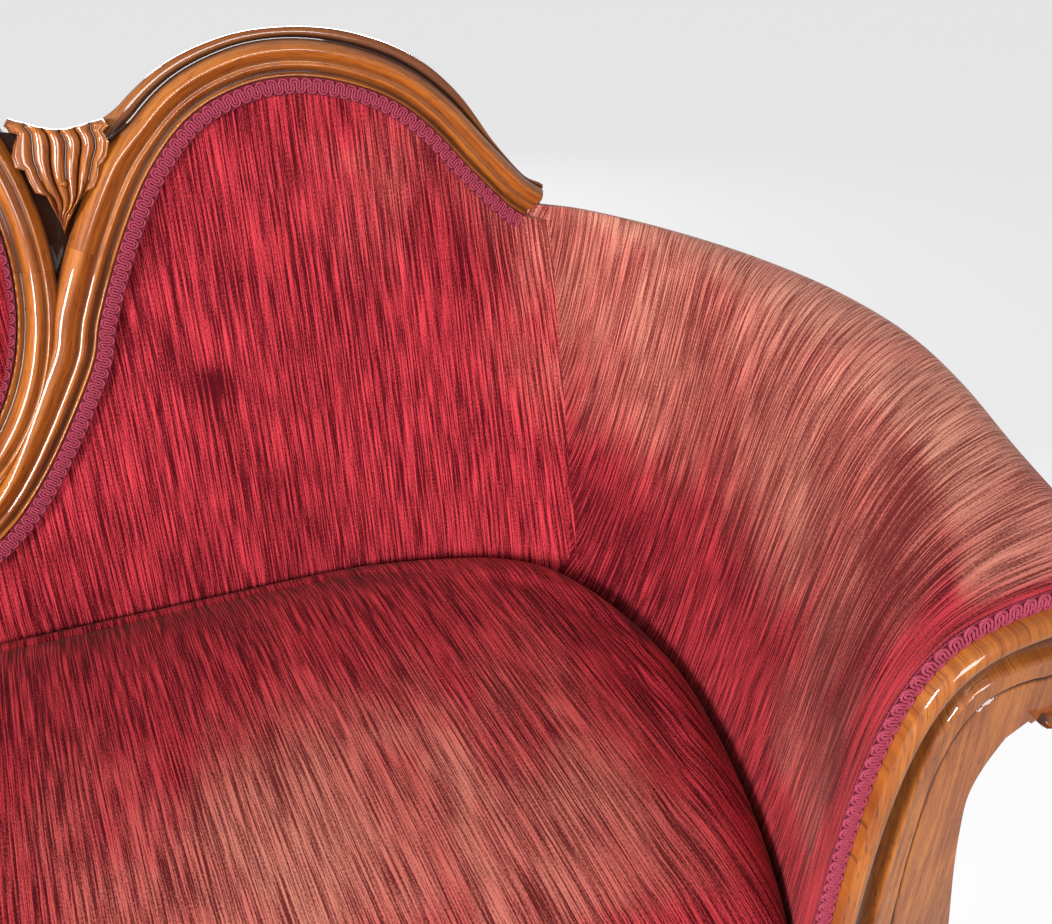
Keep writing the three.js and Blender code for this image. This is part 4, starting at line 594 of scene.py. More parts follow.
def marks_of(tree, label):
    """A vector mark of the mesh as flat coordinates, and its third part as a number."""
    made = node(tree, "ShaderNodeAttribute", (-900, 0), attribute_name=label)
    parts = node(tree, "ShaderNodeSeparateXYZ", (-720, -200), {0: made.outputs["Vector"]})
    flat = node(tree, "ShaderNodeCombineXYZ", (-560, 0),
                {0: parts.outputs[0], 1: parts.outputs[1]})
    return flat.outputs[0], parts.outputs[2]


def grouped(tree, name, maker, inputs, colours, labels):
    """Outputs of a node group in a material, with the settings' colours on the inputs of those
    labels."""
    tints = {label: (*getattr(colours, label.lower().replace(" ", "_")), 1) for label in labels}
    return node(tree, "ShaderNodeGroup", (-400, 0), {**inputs, **tints},
                node_tree=bpy.data.node_groups.get(name) or maker()).outputs


def bump(tree, shader, height, distance, strength=1.0):
    """Feeds a height to a shader's normal."""
    made = node(tree, "ShaderNodeBump", (-200, -300),
                {"Height": height, "Distance": distance, "Strength": strength})
    fill(tree, shader, {"Normal": made.outputs[0]})


def velvet_material(colours):
    """Worn strié velvet: the pile's stripes with the painted light and shade of the lift mark,
    and a painted pale sheen mixed into the colour where worn pile turns away."""
    made, tree, shader = start_material("Crimson strie velvet")
    rows, worn = marks_of(tree, "pile")
    # The lift mark holds painted light and shade for the pile's tone.
    shade = node(tree, "ShaderNodeAttribute", (-700, -300), attribute_name="lift").outputs["Fac"]
    pile = grouped(tree, "Striped pile", pile_group, {"Rows": rows, "Worn": worn, "Lift": shade},
                   colours, ("Deep", "Bright", "Worn deep", "Worn bright"))
    # Painted sheen: the sheen colour is mixed into the base colour where the surface turns away
    # from the eye, scaled up where the pile is worn.
    facing = node(tree, "ShaderNodeLayerWeight", (-600, 300), {"Blend": 0.5}).outputs["Facing"]
    turned = maths(tree, (-400, 300), "POWER", facing, 5.0)
    dusty = maths(tree, (-400, 450), "MULTIPLY_ADD", pile["Worn"], 0.7, 0.1)
    turned = maths(tree, (-250, 300), "MULTIPLY", turned, dusty)
    bump(tree, shader, pile["Height"], 0.0008, 0.6)
    fill(tree, shader, {
        "Base Color": blend(tree, (-100, 150), turned, pile["Color"], colours.sheen),
        "Roughness": 0.9, "Specular IOR Level": 0.1, "Sheen Weight": 0.06,
        "Sheen Roughness": 0.4, "Sheen Tint": (1, 0.62, 0.58, 1)})
    return made


def walnut_material(colours):
    """Show wood under a glossy polish."""
    made, tree, shader = start_material("Polished walnut")
    grain, hollow = marks_of(tree, "grain")
    wood = grouped(tree, "Polished grain", grain_group, {"Grain": grain, "Polish and shade": hollow},
                   colours, ("Pale", "Ruddy", "Dark"))
    bump(tree, shader, wood["Height"], 0.0003, 0.35)
    fill(tree, shader, {
        "Base Color": wood["Color"], "Roughness": wood["Roughness"], "Specular IOR Level": 0.2,
        "Coat Weight": 1.0, "Coat Roughness": 0.03})
    return made


def plain_material(name, colour, fleck, scale, roughness, distance, metallic=0.0):
    """A simple finish on object coordinates: a colour that a stretched noise flecks."""
    made, tree, shader = start_material(name)
    place = node(tree, "ShaderNodeTexCoord", (-900, 0)).outputs["Object"]
    value = noise(tree, (-500, 0), place, scale, 4.0, 0.6)
    bump(tree, shader, value, distance)
    fill(tree, shader, {"Base Color": blend(tree, (-200, 0), value, colour, fleck),
                        "Roughness": roughness, "Metallic": metallic})
    return made


def braid_material(name, colour, shade):
    """Twisted braid cord: slanted plies on the cord's own length and turn."""
    made, tree, shader = start_material(name)
    rows, _ = marks_of(tree, "cord")
    ply = node(tree, "ShaderNodeTexWave", (-500, 0), {
        "Vector": stretched(tree, (-700, 0), rows, (260, 0.9, 1)), "Scale": 1.0,
        "Distortion": 0.4}, bands_direction="DIAGONAL").outputs["Fac"]
    drift = noise(tree, (-500, -250), rows, (30, 30, 30))
    tone = blend(tree, (-200, 0), ply, shade, colour)
    drift = maths(tree, (-200, -250), "MULTIPLY", drift, 0.3)
    bump(tree, shader, ply, 0.0003)
    fill(tree, shader, {"Base Color": blend(tree, (0, -100), drift, tone, shade),
                        "Roughness": 0.7, "Specular IOR Level": 0.2})
    return made


def finish(name, maker, *values):
    """A material by name, made the first time that it is asked for."""
    return bpy.data.materials.get(name) or maker(*values)


def walnut(context):
    """The polished show wood."""
    return finish("Polished walnut", walnut_material, context.scene.settee_wood)


def velvet(context):
    """The worn velvet."""
    return finish("Crimson strie velvet", velvet_material, context.scene.settee_cloth)


# Settings a user would change.

def colour_prop(name, description, default):
    """A colour setting, as the shaders read it."""
    return bpy.props.FloatVectorProperty(
        name=name, description=description, subtype="COLOR", size=3, min=0, max=1,
        default=default)


def length_prop(name, description, default):
    """A length setting in metres."""
    return bpy.props.FloatProperty(
        name=name, description=description, default=default, min=0, unit="LENGTH", precision=4)


class WoodSettings(bpy.types.PropertyGroup):
    """Colours of the polished show wood."""
    pale: colour_prop("Pale grain", "Honey colour between the streaks", (0.58, 0.185, 0.022))
    ruddy: colour_prop("Ruddy grain", "Red-brown colour of the streaks", (0.27, 0.062, 0.009))
    # Dark polish: real in the pores, and in the hollows also painted shade.
    dark: colour_prop("Dark polish", "Colour gathered in hollows and pores",
                      (0.035, 0.01, 0.005))


class ClothSettings(bpy.types.PropertyGroup):
    """Colours and sizes of the velvet and its braid."""
    deep: colour_prop("Deep pile", "Dark stripe of fresh velvet", (0.085, 0.002, 0.006))
    bright: colour_prop("Bright pile", "Light stripe of fresh velvet", (0.64, 0.046, 0.066))
    worn_deep: colour_prop("Worn deep pile", "Dark stripe of worn velvet", (0.2, 0.034, 0.028))
    worn_bright: colour_prop("Worn bright pile", "Light stripe of worn velvet",
                             (0.75, 0.305, 0.215))
    # Painted sheen: mixed into the velvet's colour where the pile turns away from the eye.
    sheen: colour_prop("Sheen", "Dusty colour where the pile turns away", (0.8, 0.5, 0.42))
    braid: colour_prop("Braid", "Cord of the scroll braid", (0.78, 0.13, 0.22))
    braid_shade: colour_prop("Braid shade", "Twist lines and ground of the braid",
                             (0.22, 0.012, 0.032))
    loop_pitch: length_prop("Loop pitch", "Length of one loop of the braid", 0.0108)
    cord_radius: length_prop("Cord radius", "Radius of one cord of the braid", 0.00115)


class StageSettings(bpy.types.PropertyGroup):
    """Camera, floor and light."""
    eye: bpy.props.FloatVectorProperty(
        name="Eye", description="Camera's place before the back shift", subtype="TRANSLATION",
        default=(0.326, -0.943, 1.12))
    turn: bpy.props.FloatProperty(
        name="Turn", description="Camera's turn to the right", subtype="ANGLE",
        default=math.radians(20.4))
    dip: bpy.props.FloatProperty(
        name="Dip", description="Camera's look down", subtype="ANGLE",
        default=math.radians(30.7))
    lens: bpy.props.FloatProperty(
        name="Lens", description="Focal length on a 36 mm sensor", default=35.0, min=1)
    sky: bpy.props.FloatProperty(
        name="Sky", description="Strength of the soft light from all round", default=0.3, min=0)
    floor: colour_prop("Floor", "Colour of the plain floor", (0.86, 0.86, 0.865))


# Show wood.

def wooden(context, name, body, build=make_pair, **more):
    """A piece or a pair of show wood."""
    return build(name, body, walnut(context), "show_wood", **more)


def grain_up(flat, hollow):
    """Grain marks of flat points, with the grain upwards."""
    return layers(flat[..., 1], flat[..., 0], hollow)


def moulding(profile, width):
    """A moulding's front: places across, heights, and how hollow it is, by how far each point
    lies under the mean of its neighbours. The hollowness darkens the wood there as dark
    polish and painted shade."""
    front = spline(profile, np.linspace(0, 1, 64))
    high = front[:, 1]
    near = np.convolve(np.pad(high, 5, mode="edge"), np.ones(11) / 11, mode="valid")
    return front[:, 0] * width, high, np.clip((near - high) / 0.0016, 0, 1)


def carried(curve, times, section, band=None, bulge=0.0):
    """A section carried along a curve in the back's plane: each station's place is the curve's
    point plus the share across along its left-hand side, and the height out of the plane. What
    lies outside the moulding follows the band's width and sinks beside the medallion ring; the
    last stations bulge by four times share times one less share of the section, and round off as
    a quarter circle. The last two section points close it behind."""
    across, high, hollow = section
    place, side = side_of(curve, times)
    s = np.broadcast_to(np.concatenate([across, [across[-1], across[0]]]),
                        (len(times), len(across) + 2))
    w = np.concatenate([high, [-BACK_RAIL, -BACK_RAIL]])[None, :]
    # The two rear points get a little dark polish and painted shade.
    hollow = np.concatenate([hollow, [0.3, 0.3]])[None, :]
    if band is not None:
        beyond = np.concatenate([across - MOULDING_WIDTH, [0, 0]])
        rising = smooth_step(VALLEY[3], VALLEY[2], times)[:, None]
        broad = smooth_step(VALLEY[0], VALLEY[1], times)[:, None] * rising
        s = np.where(s > MOULDING_WIDTH, MOULDING_WIDTH + (s - MOULDING_WIDTH) * band[:, None], s)
        s = s * (1 + 0.29 * broad * np.clip(s / MOULDING_WIDTH, 0, 1))
        sunk = (beyond > 0) * rising
        w = w + sunk * (-0.011 - 1.3 * beyond - w)
        # Painted shade: the sunk part beside the medallion ring is darkened fully.
        hollow = np.maximum(hollow, sunk)
    gone = lengths(place)
    level = np.clip(s / (MOULDING_WIDTH + REAR_BAND), 0, 1)
    near = smooth_step(gone[-1] - 3 * END_BULGE, gone[-1], gone)[:, None]
    ahead = bulge * 4 * level * (1 - level) * near
    along = np.stack([side[:, 1], -side[:, 0]], -1)
    flat = place[:, None] + side[:, None] * s[..., None] + along[:, None] * ahead[..., None]
    if bulge:
        last = np.clip((gone - gone[-1] + 0.004) / 0.004, 0, 1)[:, None]
        w = np.where(w > -0.008, -0.008 + (w + 0.008) * np.sqrt(1 - 0.84 * last ** 2), w)
    return on_back(flat[..., 0], flat[..., 1], w), layers(gone[:, None], s, hollow)


def crest_section():
    """The crest moulding with its stepped rear band: across, height and hollowness."""
    across, high, hollow = moulding(CREST_PROFILE, MOULDING_WIDTH)
    band = np.linspace(0, 1, 14)
    steps = np.concatenate([[0, 0.0006, 0.0012], 0.0018 + band * (REAR_BAND - 0.0018)])
    high = np.concatenate([high, [-0.004, -0.0075, -0.0085],
                           -0.0085 + 0.0036 * np.sin(np.pi * band) ** 0.7])
    high[-1] -= 0.002
    # Dark polish and painted shade: full in the step's groove, and on the rear band darkest next to
    # the step.
    hollow = np.concatenate([hollow, [0.7, 1, 1], 1 - 0.6 * smooth_step(0, 0.5, band)])
    return np.concatenate([across, MOULDING_WIDTH + steps]), high, hollow


class SETTEE_OT_back_frame(bpy.types.Operator):
    """Crest rails, stiles and the two halves of the medallion ring"""
    bl_idname = "settee.back_frame"
    bl_label = "Back frame"

    def execute(self, context):
        section = crest_section()
        for name, low, top, count in (("crest_rail", JOINT, 1, 220), ("back_stile", 0, JOINT, 110)):
            t = even_times(hump, low, top, count)
            t[0 if low else -1] += 0.00005 if low else -0.00005
            grid, mark = carried(hump, t, section, spline(BAND_TABLE, t)[:, 0],
                                 END_BULGE if low else 0.0)
            if not low:
                grid[0, :, 0] = 0.0002
            wooden(context, name, tube(grid, grain=mark))
        section = moulding(RING_PROFILE, RING_WIDTH)
        joint = math.asin((JOINT_RISE - OVAL_RISE) / OVAL_HIGH)
        t = np.linspace(0.0001, 0.9999, 200)
        for name, low, top in (("medallion_ring_upper", np.pi - joint, joint),
                               ("medallion_ring_lower", 2 * np.pi + joint, np.pi - joint)):
            grid, mark = carried(lambda share: oval(low + (top - low) * share), t, section)
            wooden(context, name, tube(grid, grain=mark), make_piece)
        return {"FINISHED"}


def scroll(head, turn, beyond=0.0):
    """Points of the facing's scroll, whose radius grows evenly as it turns from the crown to its
    end, or points that far beyond it."""
    turned = (np.pi / 2 - turn) / (np.pi / 2 - HEAD_END)
    radius = ROLL_RADIUS - PAD_EDGE + turned * (PAD_EDGE + 0.004) + beyond
    return head + radius[..., None] * layers(np.cos(turn), np.sin(turn))


def facing_paths(count):
    """Inner edge and outer edge of the right arm facing as x and z, and the scroll's middle. The
    inner one follows the padding's front end less its wall and turns round the scroll; the outer
    one climbs the flared foot and then waits under the scroll."""
    foot, line, inward, head = arm_end()
    line = line + inward * (PAD_EDGE + CLEAR)
    arc = scroll(head, np.linspace(np.pi / 2, HEAD_END, 200))
    base, under = RAIL_TOP + CLEAR, arc[-1]
    inner = np.concatenate([[[line[0, 0], base]], line, arc[1:]])
    flare = spline(EDGE_TABLE, np.linspace(0, 1, 120))
    outer = np.stack([foot + PAD_EDGE + FACING_WAIST * (1 + flare[:, 1]),
                      base + flare[:, 0] * (under[1] - RAIL_TOP)], -1)
    return resample(inner, np.linspace(0, 1, count)), np.concatenate([outer, [under]]), head


def facing_height(far, other):
    """Relief of the facing against the distance from its inner edge: a half-round roll 17 mm
    wide, a cove that is a half sine 11 mm deep, a rim bead at 41 mm, a flat field with an
    incised line at 60 mm, and a rounded far edge."""
    roll = 0.009 * np.sqrt(np.clip(1 - ((far - 0.008) / 0.0085) ** 2, 0, 1))
    cove = -0.0115 * np.sin(np.pi * np.clip((far - 0.016) / 0.023, 0, 1)) ** 0.8
    rim = 0.0026 * np.exp(-((far - 0.041) / 0.0024) ** 2)
    line = -0.002 * np.exp(-((far - 0.06) / 0.0011) ** 2)
    edge = -0.004 * (1 - smooth_step(0, 0.005, other))
    return roll + cove + rim + line + edge - 0.0035


class SETTEE_OT_arm_facings(bpy.types.Operator):
    """Moulded scroll facings at the arms' fronts, with the leaf under each scroll"""
    bl_idname = "settee.arm_facings"
    bl_label = "Arm facings"

    def execute(self, context):
        rows, columns = 320, 110
        inner, outer, head = facing_paths(rows)
        share = np.linspace(0, 1, rows)
        climb = np.clip(share / 0.62, 0, 1)
        outer = resample(outer, (smooth_step(0, 1, climb) + climb) / 2)
        across = np.linspace(0, 1, columns)[None, :, None]
        flat = inner[:, None] * (1 - across) + outer[:, None] * across
        far = np.linalg.norm(flat - inner[:, None], axis=-1)
        other = np.linalg.norm(flat - outer[:, None], axis=-1)
        other = np.where(share[:, None] < 0.6, other, 0.02)
        # Dark polish and painted shade in the cove and the incised line, a little all over.
        hollow = 0.1 + 1.2 * np.exp(-((far - 0.0265) / 0.009) ** 2) + np.exp(
            -((far - 0.06) / 0.0013) ** 2)
        body = shell(upright(flat, FACING_FRONT - facing_height(far, other)),
                     upright(flat, FACING_FRONT + FACING_THICK), grain=grain_up(flat, hollow))
        wooden(context, "arm_facing", body)
        self.leaf(context, head)
        return {"FINISHED"}

    def leaf(self, context, head):
        """Lobed leaf along the scroll's underside: a crescent whose outer rim swells in lobes,
        with ribs that follow them."""
        share = np.linspace(0, 1, 140)[:, None]
        across = np.linspace(0, 1, 26)[None, :]
        start = math.radians(-20)
        lobe = np.abs(np.sin(share * np.pi * 5)) ** 0.5
        swell = (0.003 + 0.011 * lobe) * np.sin(np.pi * (0.1 + 0.85 * share))
        flat = scroll(head, start + (HEAD_END - start) * share, (swell + 0.006) * across - 0.006)
        high = 0.002 + 0.006 * np.sin(np.pi * across) * (0.5 + 0.5 * lobe)
        # Dark polish and painted shade between the lobes.
        body = shell(upright(flat, FACING_FRONT + 0.003 - high),
                     upright(flat, FACING_FRONT + 0.02), grain=grain_up(flat, (1 - lobe) * 0.9))
        wooden(context, "facing_leaf", body)


def leaf_grid(start, valleys, tips, rows, columns, depth):
    """Acanthus leaf with one rib to each lobe. Its edge runs from notch to notch and swells
    towards each tip as a power of a sine; ribs run to it from the start line in quadratic
    curves. The height is a rounded ridge on each rib, with a curled rim at the edge."""
    start, valleys, tips = (np.asarray(part, float) for part in (start, valleys, tips))
    lobes = len(tips)
    s = np.linspace(0, lobes, rows)
    which = np.minimum(s.astype(int), lobes - 1)
    x = (s - which)[:, None]
    ridge = np.sin(np.pi * x)
    middle = (valleys[which] + valleys[which + 1]) / 2
    edge = (valleys[which] * (1 - x) + valleys[which + 1] * x
            + (tips[which] - middle) * ridge ** 0.7)
    begin = np.stack([np.interp(s, np.linspace(0, lobes, len(start)), start[:, k])
                      for k in (0, 1)], -1)
    r = np.linspace(0, 1, columns)[None, :, None]
    guide = begin * [0.5, 0.45] + edge * [0.5, 0.55]
    flat = ((1 - r) ** 2 * begin[:, None] + 2 * r * (1 - r) * guide[:, None]
            + r ** 2 * edge[:, None])
    r = r[..., 0]
    rise = np.minimum(1, r / 0.12) ** 0.5 * (0.62 + 0.38 * np.sin(np.pi * r ** 0.8))
    body = 0.22 + 0.78 * ridge ** 0.75
    rim = np.exp(-((r - 0.955) / 0.03) ** 2) * 0.16
    vein = -0.1 * np.exp(-((x - 0.5) / 0.06) ** 2) * smooth_step(0.2, 0.6, r) * (
        1 - smooth_step(0.85, 1, r))
    high = depth * (rise * body + rim + vein)
    # Dark polish and painted shade between the ribs and along the start line.
    hollow = np.clip(1 - ridge * 1.9, 0, 1) * 0.95 + np.clip(0.12 - r, 0, 1) * 3
    return flat, high, np.clip(hollow, 0, 1)


def fan_leaf(top, near, far, ribs, columns, rows, depth):
    """Carved leaf whose ribs sweep from its top edge and meet at its tip: each grid line joins
    two smooth curves through every fourth outline point at the same share of their lengths. The
    top edge's own shape and the lobes of the outline fade inwards. The relief is a row of
    rounded ribs with a raised rim inside the outline."""
    gone = np.linspace(0, 1, rows) ** 1.1
    near, far, top = (np.asarray(line, float) / 1000 for line in (near, far, top))
    plain = [spline(np.concatenate([line[:1], line[3:-1:4], line[-1:]]), gone)
             for line in (near, far)]
    lobed = [resample(line, gone) for line in (near, far)]
    share = np.linspace(0, 1, columns)[:, None]
    start = near[:1] * (1 - share) + far[:1] * share
    flat = plain[0] * (1 - share[..., None]) + plain[1] * share[..., None]
    flat = flat + (resample(top, share[:, 0]) - start)[:, None] * (1 - gone[:, None]) ** 2
    width = np.linalg.norm(lobed[1] - lobed[0], axis=1)
    power = 1 + 7 * smooth_step(0.012, 0.04, width)
    for side, away in ((0, share), (1, 1 - share)):
        flat = flat + (lobed[side] - plain[side]) * ((1 - away) ** power)[..., None]
    inside = np.minimum(share, 1 - share) * width
    ridge = np.abs(np.sin(np.pi * ribs * share)) ** 0.7
    fade = np.clip(width / 0.03, 0, 1)
    belly = 0.55 + 0.45 * np.sin(np.pi * np.clip(0.15 + gone * 0.8, 0, 1))
    lip = np.clip(gone / 0.05, 0, 1) ** 0.5
    rim = np.exp(-((inside - 0.0016) / 0.0011) ** 2)
    high = depth * belly * (0.5 + 0.5 * ridge * fade) * lip * np.clip(
        inside / 0.0012, 0, 1) ** 0.5 + 0.0022 * rim * lip
    # Dark polish and painted shade between the ribs, and in a band just inside the rim.
    hollow = np.clip((1 - ridge * 1.5) * fade, 0, 1) + 0.5 * np.exp(
        -((inside - 0.0045) / 0.002) ** 2) * (1 - ridge)
    return flat, high, np.clip(hollow, 0, 1)


class SETTEE_OT_carvings(bpy.types.Operator):
    """Shoulder leaves beside the medallion, the cresting over it and the apron's leaf"""
    bl_idname = "settee.carvings"
    bl_label = "Carvings"

    def execute(self, context):
        self.shoulders(context)
        self.cresting(context)
        self.apron(context)
        return {"FINISHED"}

    def shoulders(self, context):
        """Ground between the ring and the crest rail, and the leaf that lies on it."""
        t = np.linspace(0, 1, 60)
        low, top = 0.322, 0.498
        v = low + (top - low) * t
        level = (v - OVAL_RISE) / (OVAL_HIGH + RING_WIDTH)
        ring = RING_REACH * np.sqrt(np.clip(1 - level ** 2, 0, 1)) - 0.004
        place, side = side_of(hump, np.linspace(0, 10 / 16, 600))
        edge = place + side * (MOULDING_WIDTH - 0.002)
        climb = edge[:, 1] < edge[:, 1].max()
        crest = np.interp(v, np.maximum.accumulate(edge[climb, 1]), edge[climb, 0])
        across = np.linspace(0, 1, 40)[None, :]
        arch = np.sin(np.pi * across)
        u = ring[:, None] * (1 - across) + crest[:, None] * across
        v = v[:, None] - 0.008 * arch * t[:, None] ** 6
        # The ground's front is darkened fully: dark polish and painted shade in the recess.
        body = shell(on_back(u, v, -0.0055 - 0.013 * arch ** 0.8), on_back(u, v, -BACK_RAIL),
                     grain=[layers(v, u, hollow) for hollow in (1.0, 0.2)])
        wooden(context, "shoulder_ground", body, added=True)
        flat, high, hollow = fan_leaf(LEAF_TOP, LEAF_NEAR, LEAF_FAR, 6, 220, 120, 0.0115)
        self.relief(context, "shoulder_leaf", flat, high, -0.03, hollow, make_pair)
        self.bud(context)

    def relief(self, context, name, flat, high, deep, hollow, build):
        """A carving on the back: its relief over the plane and its flat rear."""
        u, v = flat[..., 0], flat[..., 1]
        body = shell(on_back(u, v, high), on_back(u, v, deep), grain=grain_up(flat, hollow))
        wooden(context, name, body, build)

    def bud(self, context):
        """Ball at the end of the middle rib: a rounded body whose radius is a sine of its
        length."""
        t = np.linspace(0, 1, 24)[:, None]
        turn = np.linspace(0, 2 * np.pi, 25)[None, :-1]
        swell = np.sin(np.pi * t)
        u = 0.2545 + 0.0045 * swell * np.cos(turn)
        v = 0.4525 - 0.009 * t
        grid = on_back(u, v, 0.009 + 0.0042 * swell * np.sin(turn))
        wooden(context, "leaf_ball", tube(grid, grain=layers(v, u, 0.1)), added=True)

    def cresting(self, context):
        """Fan of leaves on the ring's top: lobes along an arch, ribs to its foot."""
        half = 0.108
        x = np.linspace(-half, half, 10)
        middle = (x[1:] + x[:-1]) / 2

        def arch(place, high):
            """Height over the seat line of an arch that falls off to both sides."""
            top = OVAL_RISE + OVAL_HIGH + RING_WIDTH + high
            return top - 0.046 * np.abs(place / half) ** 1.7

        start = np.stack([x * 0.7, arch(x, -0.006) + 0.012 * np.abs(x / half)], -1)
        valleys = np.stack([x, arch(x, 0.014)], -1)
        tips = np.stack([middle * 1.05, arch(middle, 0.030)], -1)
        flat, high, hollow = leaf_grid(start, valleys, tips, 300, 40, 0.012)
        self.relief(context, "medallion_cresting", flat, high + 0.001, -0.02, hollow, make_piece)

    def apron(self, context):
        """Spray of leaves at the middle of the front rail: two fans of lobes, left and right."""
        middle = RAIL_TOP - APRON_HIGH * 0.62
        angle = np.linspace(0, 2 * np.pi, 15)
        between = (angle[1:] + angle[:-1]) / 2
        start, valleys, tips = (
            np.stack([wide * np.cos(turn), middle + high * np.sin(turn)], -1)
            for turn, wide, high in ((angle, 0.02, 0.003), (angle, 0.074, 0.016),
                                     (between, 0.092, 0.025)))
        flat, high, hollow = leaf_grid(start, valleys, tips, 320, 30, 0.008)
        bow = front_line(flat[..., 0], 0.682) - 0.008
        body = shell(upright(flat, bow - high + 0.004), upright(flat, bow + 0.006),
                     grain=grain_up(flat, hollow))
        wooden(context, "apron_carving", body, make_piece)


class SETTEE_OT_base(bpy.types.Operator):
    """Front apron, cabriole front legs and raked rear legs"""
    bl_idname = "settee.base"
    bl_label = "Apron and legs"

    def execute(self, context):
        self.apron(context)
        self.front_legs(context)
        self.rear_legs(context)
        return {"FINISHED"}

    def apron(self, context):
        """Moulding carried along the bowed front: a plain face with a bead on its lower edge,
        whose foot dips in the middle as a cosine wave."""
        half = FRONT_REACH + PAD_EDGE - CLEAR
        x = np.linspace(-half, half, 240)[:, None]
        foot = RAIL_TOP - APRON_HIGH - 0.016 * (1 + np.cos(2 * np.pi * x / half)) / 2
        z = foot + (RAIL_TOP - foot) * np.linspace(0, 1, 60)[None, :]
        height = z - foot
        bead = 0.0045 * np.exp(-((height - 0.006) / 0.0042) ** 2)
        cove = -0.003 * np.exp(-((height - 0.015) / 0.004) ** 2)
        crown = 0.003 * np.exp(-((RAIL_TOP - z - 0.004) / 0.004) ** 2)
        ahead = bead + cove + crown - 0.0045 * (1 - smooth_step(0, 0.004, height))
        # Dark polish and painted shade in the cove over the bead.
        hollow = np.exp(-((height - 0.015) / 0.0035) ** 2) * 0.6
        flat = layers(x, z)
        body = shell(upright(flat, front_line(x) - 0.0042 - ahead),
                     upright(flat, front_line(x) + 0.016), grain=layers(x, z, hollow))
        wooden(context, "front_apron", body, make_piece)

    def front_legs(self, context):
        """Cabriole leg: rings whose centre swings forward at the knee and the toe, square at the
        block and round at the ankle, with a scrolled leaf down the knee."""
        ring = spline(LEG_TABLE, np.linspace(0, 1, 200))
        z, forward, wide, deep, power = (part[:, None] for part in ring.T)
        z = np.clip(z, 0, RAIL_TOP)
        turn = np.linspace(0, 2 * np.pi, 97)[None, :-1]
        front_side = np.clip(-np.sin(turn), 0, 1) ** 1.5
        knee = np.exp(-((z - 0.225) / 0.032) ** 2) * front_side
        rib = np.abs(np.sin(turn * 6)) ** 0.8
        toe = np.exp(-((z - 0.02) / 0.016) ** 2) * front_side * 0.003 * np.abs(np.sin(turn * 4))
        grow = 1 + (knee * (0.0025 + 0.0045 * rib) + toe) / 0.04
        x = FRONT_REACH + PAD_EDGE + LEG_HALF + squared(np.cos(turn), power) * wide * grow
        y = FACING_FRONT + LEG_DEEP - forward + squared(np.sin(turn), power) * deep * grow
        # Dark polish and painted shade between the knee leaf's ribs.
        mark = layers(z, turn * 0.03, knee * (1 - rib) * 0.8)
        wooden(context, "front_leg", tube(layers(x, y + BACK_SHIFT, z), grain=mark))

    def rear_legs(self, context):
        """Square leg that rakes back to the floor by a power curve and leans with the back
        above the rail, with rounded corners."""
        top = SEAT_LINE + HUMP_END * math.cos(BACK_LEAN)
        z = np.concatenate([np.linspace(0, RAIL_FOOT, 60), np.linspace(
            RAIL_FOOT, top, 60)[1:]])[:, None]
        low = np.clip(1 - z / RAIL_FOOT, 0, 1)
        lean = lean_at(np.maximum(z, RAIL_FOOT)) + 0.092 * low ** 1.6
        near = lean + 0.0123 / math.cos(BACK_LEAN) + 0.00425 * low
        far = lean + BACK_RAIL / math.cos(BACK_LEAN) - 0.00425 * low
        turn = np.linspace(0, 2 * np.pi, 41)[None, :-1]
        x = REAR_LEG_REACH + REAR_LEG_HALF * squared(np.cos(turn), 9)
        y = (near + far) / 2 + (far - near) / 2 * squared(np.sin(turn), 9) + BACK_SHIFT
        wooden(context, "rear_leg", tube(layers(x, y, z), grain=layers(z, turn * 0.02, 0.15)))


# Upholstery.

def covered(context, name, body, build=make_pair):
    """A piece or a pair of velvet."""
    return build(name, body, velvet(context), "velvet")


def billow(grid, held, pressure, limit):
    """Padding by cloth simulation: as many outer rows of the grid as the number held stay where
    they are, air pressure fills the cover from behind, and no point moves further than the
    limit."""
    rows, columns = grid.shape[:2]
    pinned = np.ones((rows, columns), bool)
    pinned[held:-held, held:-held] = False
    mesh = bpy.data.meshes.new("cover_trial")
    mesh.from_pydata(grid.reshape(-1, 3).tolist(), [], quads(rows, columns).tolist())
    trial = bpy.data.objects.new("cover_trial", mesh)
    bpy.context.scene.collection.objects.link(trial)
    group = trial.vertex_groups.new(name="held")
    group.add(np.flatnonzero(pinned).tolist(), 1.0, "ADD")
    cloth = trial.modifiers.new("Cloth", "CLOTH")
    cloth.collision_settings.use_collision = False
    settings = cloth.settings
    settings.vertex_group_mass = "held"
    settings.quality = 6
    settings.mass = 0.35
    settings.tension_stiffness = 12
    settings.compression_stiffness = 12
    settings.bending_stiffness = 1.5
    settings.use_pressure = True
    settings.uniform_pressure_force = pressure
    settings.effector_weights.gravity = 0
    scene = bpy.context.scene
    for number in range(1, 15):
        scene.frame_set(number)
    shown = trial.evaluated_get(bpy.context.evaluated_depsgraph_get())
    moved = np.empty(rows * columns * 3)
    shown.data.vertices.foreach_get("co", moved)
    scene.frame_set(1)
    bpy.data.objects.remove(trial)
    change = moved.reshape(grid.shape) - grid
    size = np.linalg.norm(change, axis=-1, keepdims=True)
    return grid + change * np.minimum(1, limit / np.maximum(size, 1e-9))


def finer(grid, times):
    """A grid with more points between its own, by the same smooth curves each way."""
    rows, columns = grid.shape[:2]
    down = spline(grid, np.linspace(0, 1, (rows - 1) * times + 1))
    across = spline(down.transpose(1, 0, 2), np.linspace(0, 1, (columns - 1) * times + 1))
    return across.transpose(1, 0, 2)


